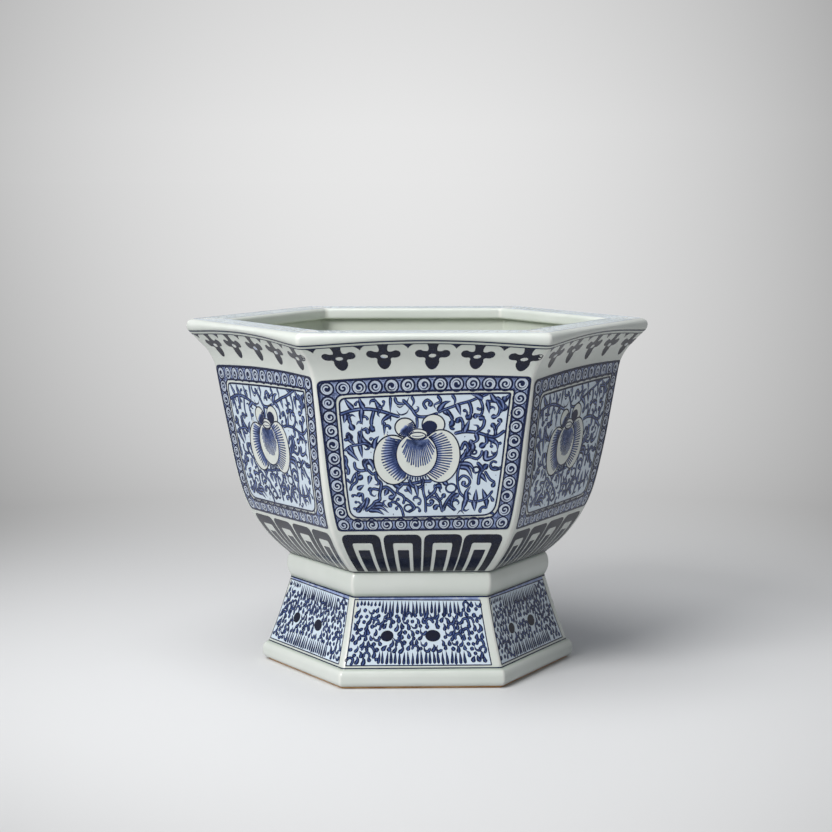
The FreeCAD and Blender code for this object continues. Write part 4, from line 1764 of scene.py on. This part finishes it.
HOOKS: Lines = (
    ((-59.9, 34), (-58.5, 27), (-56.2, 20)),
    ((-39.7, 35.2), (-41.8, 27), (-41, 21), (-39.2, 22.2)),
    ((-47.4, -13.1), (-47.4, -7.9), (-43.8, -4.7)),
    ((19.7, 35.6), (23.1, 30), (22.6, 25.4), (20.4, 24.6)),
    ((36.5, 42.8), (38.5, 36.7), (37, 31), (34, 31.4)),
    ((44.9, 45.4), (47.4, 38.7), (45.9, 32.6), (42, 33), (42, 29.6)),
    ((58.3, 43.8), (61.3, 37.7), (59.3, 31.5), (54.4, 31.3)),
    ((32, 19.8), (31.6, 26.9), (29.1, 30.5), (26.6, 25.9)),
    ((42.9, 18.7), (47.9, 22.8), (48.4, 29), (43.9, 30.9)),
    ((58.3, 15.7), (59.3, 22.8), (61.8, 26.9), (60, 30)),
    ((58.8, 17), (57.2, 22), (54.8, 25.8)),
    ((51.4, 14.6), (52.3, 9.5), (46.4, 5.7)),
    ((32, 4.4), (34.4, 9.4), (37, 6.5), (36.2, -0.7)),
    ((-47.7, 20.7), (-45.4, 21.6), (-44.9, 16.8)),
    ((-38.3, -30.4), (-42, -29.6), (-47.2, -31.1)),
    ((-36.1, -29.5), (-32, -27.6), (-26.5, -31.4), (-24.3, -34.6), (-27.5, -36.5), (-30, -35.6)),
    ((-52.4, -38.9), (-52.8, -33.2), (-57.2, -35.4)),
    ((-17.5, -52), (-19.7, -45), (-26.1, -40.3), (-29.2, -42.4), (-27.6, -45)),
    ((10.6, -28), (13, -27), (16.2, -28.2)),
    ((11.8, -34.3), (15.2, -38.8), (19.8, -33.8)),
    ((25.7, -42.8), (25.4, -38.3), (24.3, -35.4)),
    ((25.7, -42), (27, -36.8), (32, -33.8)),
    ((3.4, -42.5), (6.6, -43.2), (8.6, -40.6), (5.4, -39.8)),
    ((16.2, -45), (12.6, -44.6), (9.6, -48)),
    ((30, -22.4), (33.9, -18.5), (38.7, -20.5), (40.1, -24.4), (37.7, -27.4), (34.5, -25.6), (36, -22.8)),
    ((50.7, -13.5), (52.6, -10.6), (55, -8.6)),
    ((53, -16), (57.4, -22), (61.2, -24.6), (59, -28.6)),
    ((-56.5, -19), (-53.8, -19.6), (-51.2, -17.6)),
    ((2.2, 38.4), (0.4, 41.6), (3.4, 44.4), (6.2, 41.8), (4.0, 39.8)),
    ((58.5, 46.2), (62.6, 44.4), (65.0, 47.6)),
    ((59.6, 41.6), (63.0, 37.4), (66.2, 40.6)),
    ((-63.5, 12.5), (-60.6, 13.4), (-59.2, 17.4)),
)
LEAVES: Lines = (
    ((-56.8, 38.7), (-60.0, 42.9), (-62.4, 46.8)),
    ((-48.0, 39.4), (-49.6, 42.9), (-50.5, 47.3)),
    ((-34.1, 37.8), (-36.6, 42.2), (-38.8, 46.8)),
    ((45.4, 46.4), (42.3, 48.5), (37.6, 49.4)),
    ((55.6, 44.5), (53.1, 48.5), (51.1, 50.6)),
    ((63.6, 44.5), (66.2, 47.1), (67.9, 50.0)),
    ((-51.4, 18.0), (-50.7, 13.8), (-51.4, 9.9)),
    ((-61.3, 16.3), (-58.8, 11.3), (-55.1, 7.8)),
    ((-44.4, -5.3), (-42.0, -9.9), (-42.4, -14.0)),
    ((-48.0, -5.3), (-48.7, -9.9), (-45.6, -13.6)),
    ((17.3, 36.0), (21.3, 33.1), (23.5, 28.5)),
    ((61.8, 44.0), (63.6, 38.7), (61.2, 33.7)),
    ((38.7, 10.4), (41.2, 5.0), (39.6, 0.6)),
    ((-57.9, -48.3), (-52.9, -42.5), (-50.1, -38.4)),
    ((23.5, -41.3), (26.3, -45.4), (30.3, -47.5)),
    ((-49.1, 36), (-49.8, 30), (-49.0, 24.6)),
    ((-27, 32.3), (-32.2, 28.5), (-33.4, 24.5)),
    ((-61.8, 32.3), (-63.6, 26)),
    ((-60.8, 16.8), (-60.4, 12), (-56.6, 7.6)),
    ((-51, 9.5), (-52.9, 17.0)),
    ((-44, 7.6), (-48.6, 12), (-50, 16.8), (-49.1, 23.0)),
    ((-40.2, 6.6), (-38.8, 12), (-35.9, 15.4)),
    ((-59.9, 5.6), (-58.5, 0.8), (-54.2, -5.6)),
    ((-51.5, 6.6), (-50.1, -3.2)),
    ((27.1, 40.2), (29.8, 32.4)),
    ((50.9, 42.8), (52.6, 34.2)),
    ((34, 20.3), (37.4, 29)),
    ((43.4, 16.2), (44.4, 12.1), (38.9, 8.8)),
    ((54.3, 13.1), (60.8, 8.5), (61.5, 2.9)),
    ((41, 6.5), (39.8, -1.6)),
    ((52.3, 1.8), (52.3, -3.8), (59.8, -1.2), (61.8, 5.4)),
    ((-61, 3.3), (-53.2, -5.3)),
    ((-45.1, -19.2), (-46.9, -25.4)),
    ((-55.1, -29), (-50.2, -26.1)),
    ((-48.3, -38.4), (-49.7, -43.1), (-53.0, -48.4)),
    ((-42.4, -43.5), (-36.9, -42.6), (-30.5, -46.4)),
    ((-44.6, -45.5), (-37.0, -45.6), (-30.5, -50.5)),
    ((-47.0, -47.4), (-40.0, -48.4), (-34.5, -52.0)),
    ((38.2, -39.3), (38.0, -32.3), (41.2, -27.4)),
    ((45.9, -39.3), (45.9, -30.2)),
    ((55, -37.8), (51.2, -29.2)),
    ((37.2, -40.3), (34.4, -49.9)),
    ((45.4, -41.3), (46.6, -49.3)),
    ((55.5, -39.8), (56.6, -46.3)),
    ((36.8, -2.6), (41.0, 4.3)),
    ((33, -3), (36.0, 4.0)),
    ((32, -11.1), (37.2, -12.2), (42.4, -21.6)),
    ((32, -8.6), (39.5, -9.0), (45.0, -17.5)),
    ((49.7, -17.5), (54.6, -23.8)),
    ((59.8, -12), (65.2, -11.4)),
    ((-31, -31.6), (-33.5, -35.5)),
    ((-12.5, -28.5), (-9.5, -34.8)),
    ((-6.0, -27.5), (-4.4, -36.8)),
    ((12.6, 37.0), (16.8, 42.4), (21.6, 44.0)),
    ((-21.5, -27.5), (-26.0, -24.2), (-31.5, -25.2)),
    ((20.0, -25.0), (17.0, -20.8), (20.5, -17.6)),
)
TIES: Lines = (
    ((-25.9, 47.2), (-26.4, 34.2)),
    ((-31.3, 27), (-31.8, 15.3)),
    ((-22.5, 47.4), (-20.6, 42.8), (-14, 42.6), (-11.0, 47.6)),
    ((-9.4, 47.8), (-7.4, 43.4), (-9.2, 39.0)),
    ((10.6, 48.4), (13.4, 44.0), (8.3, 40.7), (9.8, 37.4)),
    ((22.2, 49), (24.8, 44.8), (24.1, 40.2)),
    ((40.6, 49.8), (43.2, 46.6)),
    ((64.8, 8.6), (60.8, 8.8)),
    ((-64.8, -20.4), (-60.5, -26.0)),
    ((62.4, -41), (58.4, -35)),
    ((-61.8, -46.2), (-57.0, -46.4), (-53.6, -44.6)),
)
CRESCENTS: Lines = (
    ((-21.4, 36.4), (-18.4, 32.8), (-13.5, 34.1), (-11.2, 37.8)),
    ((-21.6, 41.2), (-18.8, 39.4), (-15.6, 41.0)),
    ((31.0, -52.0), (34.0, -48.6), (37.6, -51.8)),
)
RINGS: tuple[tuple[Point, float], ...] = (
    ((24.3, -28.9), 4.4),
    ((44.9, -13.3), 2.9),
    ((-12.6, -46.2), 3.6),
    ((42.3, 1.6), 2.0),
)
BLOBS: tuple[tuple[Point, float], ...] = (
    ((-9.6, -31.1), 2.3), ((-5.3, -32.2), 2.2), ((-1.3, -29.9), 2.2), ((-6.2, -28.3), 2.0),
    ((3.3, -23.9), 2.4), ((-13.6, -25.3), 2.0), ((56.1, -8.5), 2.5), ((-64.0, -5.3), 2.0),
    ((-63.3, -12.7), 2.1), ((69.0, 32.2), 2.0), ((67.9, 34.3), 1.6), ((-28.7, 18.5), 2.0),
    ((0.5, -36.1), 2.0), ((54.6, -9.0), 2.4), ((-43, 1.6), 2.2), ((34, 14.6), 2.3),
    ((-29, 16.6), 2.6), ((-3.6, -23.4), 2.4), ((2.8, -26.0), 2.2), ((-9.4, -22.6), 2.0),
    ((8.4, -20.8), 1.8), ((62.0, -18.0), 1.7), ((45.6, -5.4), 1.9), ((-63.4, -6.0), 2.1),
    ((-63.2, -14.5), 2.1), ((-26.2, -51.6), 2.6), ((60.5, 34.5), 1.6),
)


@dataclass
class LotusScroll:
    """The scroll of stems, hooks and leaves that fills the field round the flower."""

    stem: Brush = Brush(2.9, (Tip.ROUND, Tip.ROUND), 1.3, 0.5)
    hook: Brush = Brush(3.0, (Tip.ROUND, Tip.BULB), 1.3, 0.5)
    leaf: Brush = Brush(4.9, (Tip.ROUND, Tip.POINT), 1.3, 0.4)
    tie: Brush = Brush(3.0, (Tip.ROUND, Tip.POINT), 1.3, 0.5)
    crescent: Brush = Brush(2.0, (Tip.POINT, Tip.POINT), 1.2, 0.9)
    widest_gap: float = 3.9  # the white between the lines is never further from them than this
    rooted: float = 1.7  # how far a branch starts inside what it grows from

    def strokes(self, seed: int) -> list[Stroke]:
        """All strokes of the scroll, a little different on each side."""
        groups = (STEMS, HOOKS, LEAVES, TIES, CRESCENTS)
        kinds = zip(groups, (self.stem, self.hook, self.leaf, self.tie, self.crescent))
        chance = random.Random(seed)
        strokes = [Stroke(self.root(points, group), brush) for group, brush in kinds for points in group]
        for i, stroke in enumerate(strokes):
            dx, dy = chance.uniform(-0.35, 0.35), chance.uniform(-0.35, 0.35)
            brush = replace(stroke.brush, width=stroke.brush.width * chance.uniform(0.85, 1.15))
            strokes[i] = Stroke(tuple((x + dx, y + dy) for x, y in stroke.points), brush)
        ring = Brush(1.7, tone=1.15, core=0.8)
        strokes += [Stroke(tuple(ellipse(at, r, r * 0.85, 12)), ring, closed=True) for at, r in RINGS]
        for (x, y), r in BLOBS:
            strokes.append(Stroke(((x - 0.15 * r, y), (x + 0.15 * r, y)), Brush(2.1 * r, tone=1.2, core=0.6)))
        return strokes + self.leafage(strokes, chance)

    def leafage(self, strokes: Sequence[Stroke], chance: random.Random) -> list[Stroke]:
        """Small leaves that grow from the nearest line into the widest white, until none is too wide."""
        frame_line = straight_path(rounded_loop(Panel.field, Panel.field_radii), True, 1.5)
        petals = LotusHead().petals()
        x, y = [c.ravel() for c in np.meshgrid(np.arange(-65, 68, 1.3), np.arange(-54, 50, 1.3))]
        free = np.ones(len(x), bool)
        for px, py, rx, ry in petals:
            free &= np.hypot((x - px) / rx, (y - py) / ry) > 1
        (ax, ay), (bx, by), (cx, cy), (dx, dy) = Panel.field
        left, right = np.interp(y, (ay, dy), (ax, dx)), np.interp(y, (by, cy), (bx, cx))
        free &= (x > left) & (x < right) & (y < np.interp(x, (dx, cx), (dy, cy)))
        spots = np.column_stack([x, y])[free]
        gap, root = np.full(len(spots), np.inf), np.zeros_like(spots)

        def note(path: np.ndarray) -> None:
            away = np.linalg.norm(spots[:, None] - path[None], axis=2)
            nearest = away.argmin(1)
            closer = away.min(1) < gap
            gap[closer] = away.min(1)[closer]
            root[closer] = path[nearest[closer]]

        for line in [frame_line] + [np.array(ellipse((px, py), rx, ry, 60)) for px, py, rx, ry in petals]:
            note(line)
        for stroke in strokes:
            note(smooth_path(stroke.points, stroke.closed, 0.9))
        leaves: list[Stroke] = []
        while gap.max() > self.widest_gap and len(leaves) < 200:
            widest = int(gap.argmax())
            start, reach = root[widest], gap[widest] * chance.uniform(1.05, 1.3)
            ahead = (spots[widest] - start) / gap[widest]
            aside = np.array((-ahead[1], ahead[0])) * chance.choice((-1, 1)) * reach
            middle = start + 0.55 * reach * ahead + 0.26 * aside
            points = (start - 0.6 * ahead, middle, start + reach * ahead - 0.12 * aside)
            if chance.random() < 0.4:
                points += (start + 0.8 * reach * ahead - 0.42 * aside,)
            tip = chance.choice((Tip.POINT, Tip.POINT, Tip.ROUND, Tip.BULB))
            wide = chance.uniform(1.6, 2.0) if tip is Tip.BULB else chance.uniform(2.2, 3.0)
            brush = Brush(wide, (Tip.ROUND, tip), 1.25, 0.55)
            leaves.append(Stroke(tuple(tuple(p) for p in points), brush))
            note(smooth_path(points, False, 0.9))
        log.info("leafage: %d leaves, widest gap %.1f", len(leaves), gap.max())
        return leaves

    def root(self, points: tuple[Point, ...], group: Any) -> tuple[Point, ...]:
        """A branch's points, with its start moved back into what it grows from."""
        if group not in (HOOKS, LEAVES):
            return points
        share = self.rooted / math.dist(*points[:2])
        return (partway(*points[:2], -share), *points[1:])

    def paint(self, picture: Picture, trees: Trees, seed: int) -> None:
        """Paints the scroll."""
        picture.add(Coat.LINE, trees.strokes(self.strokes(seed)))


@dataclass
class StandPicture:
    """The framed panel of bristles and dabs on each side of the stand. Real sizes, y up from the foot."""

    board_half: float = 61.0
    frame: tuple[Point, ...] = ((-58.8, 3.0), (54.1, 3.0), (53.1, 56.9), (-59.7, 58.0))
    low_line: float = 0.7
    high_line: float = 60.0
    bristled: float = 34.0  # how far the long bristles reach from the middle
    bristle_gap: float = 3.3
    dab_gap: Point = (5.1, 4.6)  # between neighbours in a row, and between rows
    dots: tuple[Oval, ...] = ((-28.5, 27.6, 5.3, 4.6), (9.4, 27.6, 6.4, 4.9))

    def lines(self) -> list[Stroke]:
        """The frame and the lines above and below it."""
        strokes = [Stroke(self.frame, Brush(0.95, tone=1.2), closed=True, sharp=True)]
        for level, width in ((self.low_line, 0.95), (self.high_line, 1.3)):
            strokes.append(level_line(level, self.board_half * PAST_CORNERS, Brush(width, tone=1.2)))
        return strokes

    def frame_top(self, x: float) -> float:
        """Height of the frame's upper line, which slants a little."""
        (right, low), (left, high) = self.frame[2:]
        return low + (high - low) * (right - x) / (right - left)

    def bristles(self, chance: random.Random) -> list[Stroke]:
        """The two rows of upright strokes, and the short ones at the upper left."""
        strokes = []
        low = self.frame[0][1]
        for first, way, tall in ((-self.bristled, -1, 11.8), (-self.bristled, 1, 11.8), (-57.0, -1, 4.6)):
            x, last = first, self.bristled if tall > 6 else -self.bristled - 2
            while x < last:
                base = self.frame_top(x) - 0.5 if way < 0 else low + 0.5
                long = tall * chance.uniform(0.86, 1.12)
                start = (x, base + way * chance.uniform(0, 1.0))
                end = (x + chance.uniform(-0.9, 0.9), start[1] + way * long)
                bend = ((x + end[0]) / 2 + chance.uniform(-0.3, 0.3), (start[1] + end[1]) / 2)
                tips = (Tip.POINT, Tip.ROUND) if way < 0 else (Tip.ROUND, Tip.POINT)
                strokes.append(Stroke((start, bend, end), Brush(chance.uniform(2.3, 2.7), tips, 1.25, 0.8)))
                x += self.bristle_gap * chance.uniform(0.92, 1.1)
        return strokes

    def dab_pieces(self) -> list[Stroke]:
        """The kinds of dab, each drawn round the board's origin."""
        def brush(width: float, first: Tip = Tip.ROUND) -> Brush:
            return Brush(width, (first, Tip.ROUND), 1.3, 0.65)

        comma = Stroke(((-0.4, 2.7), (0.5, 0.8), (0.1, -1.4), (-1.1, -2.5)), brush(3.0, Tip.POINT))
        seed = Stroke(((0.2, 1.6), (-0.2, -1.5)), brush(3.2))
        hook = Stroke(((-2.2, -1.6), (-1.5, 1.4), (0.9, 1.9), (2.1, -0.4), (1.9, -2.6)), brush(2.0))
        cup = Stroke(((-2.1, 2.0), (-1.4, -0.9), (0.8, -1.6), (2.2, 1.1)), brush(2.3, Tip.POINT))
        drop = Stroke(((0.3, 2.9), (-0.2, 0.4), (0.0, -1.6)), brush(3.4, Tip.POINT))
        return [comma, seed, drop, hook, seed, drop, cup, comma]

    def dab_places(self, chance: random.Random) -> list[Point]:
        """Where the dabs go: in loose rows, clear of the dots and the long bristles."""
        places: list[Point] = []
        across, up = self.dab_gap
        left, right = self.frame[3][0] + 3, self.frame[2][0] - 2.4
        kept_clear = [(x, y, rx + 2.4, ry + 2.7) for x, y, rx, ry in self.dots]
        for row in range(math.floor((self.frame[2][1] - 6) / up) + 1):
            level = self.frame[0][1] + 4.4 + row * up
            for i in range(math.floor((right - left) / across) + 1):
                x = left + (i + row % 2 / 2) * across + chance.uniform(-0.8, 0.8)
                y = level + chance.uniform(-0.8, 0.8)
                low, high = (15.4, 45.4) if abs(x) < self.bristled + 1 else (5.0, self.frame_top(x) - 2.4)
                if x < -self.bristled:
                    high -= 4.0
                near_dot = any(oval_reach((x, y), oval) < 1 for oval in kept_clear)
                if low < y < high and x < right + 0.8 and not near_dot:
                    places.append((x, y))
        chance.shuffle(places)
        return places

    def paint(self, picture: Picture, trees: Trees, seed: int) -> None:
        """Paints the panel."""
        chance = random.Random(seed)
        (right, low), (left, high) = self.frame[2:]
        strip = [(left, high), (right, low), (right, self.high_line), (left, self.high_line)]
        picture.add(Coat.GROUND, filled([self.frame], 0, (6.0, 3.0)))
        picture.add(Coat.WASH, filled([strip], 0.22, (6.0, 3.0)))
        picture.add(Coat.LINE, trees.strokes(self.lines() + self.bristles(chance), 1.3))
        places = self.dab_places(chance)
        pieces = self.dab_pieces()
        for kind, piece in enumerate(pieces):
            spots = places[kind :: len(pieces)]
            sizes = [chance.uniform(1.05, 1.35) for _ in spots]
            turns = [chance.uniform(-0.5, 0.5) for _ in spots]
            dabs = trees.repeated(trees.strokes([piece]), spots, seed + kind, 0.2, turns, sizes)
            picture.add(Coat.LINE, dabs)
        for x, y, rx, ry in self.dots:
            picture.add(Coat.LINE, filled([ellipse((x, y), rx, ry, 26)], 1.75))


@dataclass
class Painting:
    """All that is painted on the pot and the stand."""

    pot: Pot
    stand: Stand
    trees: Trees
    cobalt: Material
    reserve: Material
    ground: Material
    board_start: float = 117.8  # length up the pot's wall where the board's y is 0

    def pot_side(self, side: int) -> Picture:
        """Draws one side of the pot."""
        picture = Picture(self.pot.wall, side, self.board_start)
        seed = 11 + side
        Panel().paint(picture, self.trees, seed)
        LotusScroll().paint(picture, self.trees, seed)
        LotusHead().paint(picture, self.trees, seed)
        Pendants().paint(picture, self.trees, seed)
        Lappets().paint(picture, self.trees, seed)
        return picture

    def lay_coats(self, picture: Picture, prefix: str, body: Body) -> None:
        """Lays each coat of a side as a piece of its own."""
        materials = {Coat.GROUND: self.ground, Coat.RESERVE: self.reserve, Coat.BUTTON: self.reserve}
        for coat in picture.shapes:
            material = materials.get(coat, self.cobalt)
            name = f"{prefix}_{coat.name.lower()}_{SIDE_NAMES[picture.side]}"
            keep(paint_object(name, *picture.lay(coat), material), body, Slot.GLAZE)

    def rim_side(self, side: int) -> Picture:
        """Draws the thin scroll on top of the rim."""
        picture = Picture(self.pot.rim_face, side)
        spots = [(x + 4 * (row % 2), 4.5 + 7.2 * row) for row in range(3) for x in range(-80, 80, 8)]
        inputs = {"Radius": 2.9, "Eye": 0.6, "Pitch": 1.9, "Turns": 1.6, "Width": 0.5, "Stretch": 1.15}
        inputs |= {"Tone": 0.0, "Core": 0.35, "Seed": 51 + side}
        picture.add(Coat.RESERVE, self.trees.run(self.trees.dots(spots), self.trees.curls, inputs))
        brush = Brush(0.6, tone=0.0, core=0.8)
        edges = [level_line(y, BOARD_HALF, brush) for y in (0.6, 23.0)]
        picture.add(Coat.RESERVE, self.trees.strokes(edges, 4.0))
        return picture

    def build(self) -> None:
        """Paints every side."""
        for side in range(SIDES):
            self.lay_coats(self.pot_side(side), "pot_paint", Body.POT)
            self.lay_coats(self.rim_side(side), "rim_paint", Body.POT)
            picture = Picture(self.stand.wall, side, 0.0, StandPicture.board_half)
            StandPicture().paint(picture, self.trees, 31 + side)
            self.lay_coats(picture, "stand_paint", Body.STAND)


# ---- studio ------------------------------------------------------------------------------------
@dataclass
class Studio:
    """The camera at the photograph's viewing angle, soft lights and a pale floor."""

    image_px: float = 832.0
    focal_px: float = 2153.3
    sensor_mm: float = 36.0
    distance_mm: float = 1867.0
    height_mm: float = 425.7
    off_centre_mm: float = -1.6
    pitch: float = 6.45
    yaw: float = 1.6  # how far the camera stands to the left of the front side's normal
    room_light: float = 0.27
    room_colour: str = "#dfe5ed"
    lit_point: tuple[float, float, float] = (0.0, 0.0, 0.16)
    lamps: tuple[tuple[str, tuple[float, float, float], float, float], ...] = (
        ("key_light", (-1.38, -1.7, 1.7), 1.2, 53.0),
        ("top_light", (-0.45, -0.4, 2.3), 1.5, 23.0),
    )  # name, place, width and watts
    brightest: float = 0.013  # sine of the direction in which the backdrop is brightest
    paper_near: str = "#cbcbcb"
    paper_far: str = "#e7e7e7"
    paper_high: str = "#dadada"
    paper_aside: str = "#c4c4c4"
    floor_bounced: str = "#c6c6c6"
    floor_shown: str = "#e6e6e6"
    floor_fade: tuple[float, float] = (0.2, 1.05)  # metres from the axis where the paper turns up

    def camera(self) -> None:
        """Makes the camera and sets it as the scene's."""
        data = bpy.data.cameras.new("camera")
        data.sensor_width = self.sensor_mm
        data.lens = self.focal_px / self.image_px * self.sensor_mm
        data.clip_end = 200
        thing = bpy.data.objects.new("camera", data)
        turn = math.radians(-self.yaw)
        x, y = self.off_centre_mm * MM, -self.distance_mm * MM
        thing.location = (
            x * math.cos(turn) - y * math.sin(turn),
            x * math.sin(turn) + y * math.cos(turn),
            self.height_mm * MM,
        )
        thing.rotation_euler = (math.radians(90 - self.pitch), 0, turn)
        bpy.context.scene.collection.objects.link(thing)
        bpy.context.scene.camera = thing

    def lamp(self, name: str, place: tuple[float, float, float], size: float, power: float) -> None:
        """Adds a soft square lamp, in metres and watts, that faces the lit point."""
        data = bpy.data.lights.new(name, "AREA")
        data.shape = "SQUARE"
        data.size = size
        data.energy = power
        thing = bpy.data.objects.new(name, data)
        thing.location = place
        thing.rotation_euler = (Vector(self.lit_point) - Vector(place)).to_track_quat("-Z", "Y").to_euler()
        bpy.context.scene.collection.objects.link(thing)

    def lights(self) -> None:
        """Sets the lamps and the even light of the room."""
        for lamp in self.lamps:
            self.lamp(*lamp)
        world = bpy.data.worlds.new("room")
        bpy.context.scene.world = world
        world.use_nodes = True
        tree = world.node_tree
        tree.nodes.clear()
        view = add_node(tree, "ShaderNodeTexCoord").outputs["Generated"]
        height = add_node(tree, "ShaderNodeSeparateXYZ", {0: view}).outputs["Z"]
        paper = blend_colours(tree, spread(tree, height, 0, 1, 0.02, 0.09), self.paper_far, self.paper_high)
        paper = self.darker_aside(tree, view, 0.0, paper)
        seen = add_node(tree, "ShaderNodeBackground", {"Color": paper, "Strength": 1.0})
        inputs = {"Color": linear(self.room_colour), "Strength": self.room_light}
        room = add_node(tree, "ShaderNodeBackground", inputs)
        rays = {0: self.seen(tree), 1: room, 2: seen}
        mix = add_node(tree, "ShaderNodeMixShader", rays)
        add_node(tree, "ShaderNodeOutputWorld", {"Surface": mix})

    def seen(self, tree: Any) -> Socket:
        """1 for what the camera sees, also in a reflection or through glass, and 0 for plain light."""
        path = add_node(tree, "ShaderNodeLightPath").outputs
        inputs = {0: path["Is Camera Ray"], 1: path["Is Glossy Ray"]}
        direct = add_node(tree, "ShaderNodeMath", inputs, operation="MAXIMUM").outputs[0]
        inputs = {0: direct, 1: path["Is Transmission Ray"]}
        return add_node(tree, "ShaderNodeMath", inputs, operation="MAXIMUM").outputs[0]

    def darker_aside(self, tree: Any, where: Socket, back: float, colour: Any) -> Socket:
        """Darkens the backdrop to the left and right of the line of sight, as its lamp was behind the object.

        Args:
            tree: the shader tree.
            where: a place or a direction.
            back: how far in front of the axis the place is seen from, in metres.
            colour: the backdrop's colour straight ahead.

        Returns:
            The colour with its fall-off.
        """
        parts = add_node(tree, "ShaderNodeSeparateXYZ", {0: where})
        ahead = add_node(tree, "ShaderNodeMath", {0: parts.outputs["Y"], 1: back}).outputs[0]
        inputs = {0: ahead, 1: -3.0, 2: 1.6 * back}  # wide and even as seen from the far side
        behind = add_node(tree, "ShaderNodeMath", inputs, operation="MULTIPLY_ADD").outputs[0]
        depth = add_node(tree, "ShaderNodeMath", {0: ahead, 1: behind}, operation="MAXIMUM")
        reach = add_node(tree, "ShaderNodeCombineXYZ", {"X": parts.outputs["X"], "Y": depth})
        length = add_node(tree, "ShaderNodeVectorMath", {0: reach}, operation="LENGTH")
        inputs = {0: parts.outputs["X"], 1: length.outputs["Value"]}
        sine = add_node(tree, "ShaderNodeMath", inputs, operation="DIVIDE")
        aside = add_node(tree, "ShaderNodeMath", {0: sine, 1: self.brightest}, operation="SUBTRACT")
        square = add_node(tree, "ShaderNodeMath", {0: aside, 1: aside}, operation="MULTIPLY")
        fall = spread(tree, square.outputs[0], 0, 1, 0, 0.045)
        return blend_colours(tree, fall, colour, self.paper_aside, "MULTIPLY")

    def floor(self) -> None:
        """Makes the floor, which fades into a pale grey backdrop behind the object from any side."""
        rings = [0.0, 0.5, 1.0, 2.0, 5.0, 20.0, 90.0]
        points, around = [(0.0, 0.0, 0.0)], 64
        for ring in rings[1:]:
            for k in range(around):
                turn = math.tau * k / around
                points.append((ring / MM * math.cos(turn), ring / MM * math.sin(turn), 0.0))
        faces = [(0, 1 + k, 1 + (k + 1) % around) for k in range(around)]
        for ring in range(len(rings) - 2):
            first = 1 + ring * around
            for k in range(around):
                after = (k + 1) % around
                faces.append((first + k, first + around + k, first + around + after, first + after))
        thing = new_object("studio_floor", np.array(points), faces)
        material, tree, surface = new_material("pale_paper_backdrop")
        surface.inputs["Roughness"].default_value = 0.65
        bounced = blend_colours(tree, self.seen(tree), self.floor_bounced, self.floor_shown)
        tree.links.new(bounced, surface.inputs["Base Color"])
        where = add_node(tree, "ShaderNodeTexCoord").outputs["Object"]
        far = add_node(tree, "ShaderNodeVectorMath", {0: where}, operation="LENGTH").outputs["Value"]
        inputs = {"Value": far, "From Min": self.floor_fade[0], "From Max": self.floor_fade[1]}
        fade = add_node(tree, "ShaderNodeMapRange", inputs, interpolation_type="SMOOTHSTEP").outputs[0]
        near = add_node(tree, "ShaderNodeMath", {0: 1.0, 1: far}, operation="DIVIDE").outputs[0]
        paper = blend_colours(tree, spread(tree, near, 0, 1), self.paper_far, self.paper_near)
        paper = self.darker_aside(tree, where, self.distance_mm * MM, paper)
        glow = add_node(tree, "ShaderNodeEmission", {"Color": paper, "Strength": 1.0})
        shown = add_node(tree, "ShaderNodeMath", {0: fade, 1: self.seen(tree)}, operation="MULTIPLY")
        mix = add_node(tree, "ShaderNodeMixShader", {0: shown, 1: surface, 2: glow})
        tree.links.new(mix.outputs[0], tree.nodes["Material Output"].inputs["Surface"])
        thing.data.materials.append(material)

    def build(self) -> None:
        """Makes the whole studio."""
        self.camera()
        self.lights()
        self.floor()
        bpy.context.scene.view_settings.view_transform = "Standard"


def main() -> None:
    """Builds the studio, the skins and the painting."""
    logging.basicConfig(level=logging.INFO, format="%(name)s: %(message)s")
    Studio().build()
    tree = six_sides_tree()
    glaze = PorcelainGlaze().make()
    clay = BareClay().make()
    pot, stand = Pot(), Stand()
    pot.build(tree, glaze)
    stand.build(tree, glaze)
    cobalt, reserve = Cobalt().make(), Reserve().make()
    ground = Reserve(name="pale_wash_under_glaze", white="#d4e1ec", bled="#c2d1e6").make()
    Painting(pot, stand, Trees(cobalt), cobalt, reserve, ground).build()
    for node in ("pot_foot_ring", "stand_foot_rim"):
        frame["nodes"][node].data.materials.clear()
        frame["nodes"][node].data.materials.append(clay)


if __name__ == "__main__":
    main()
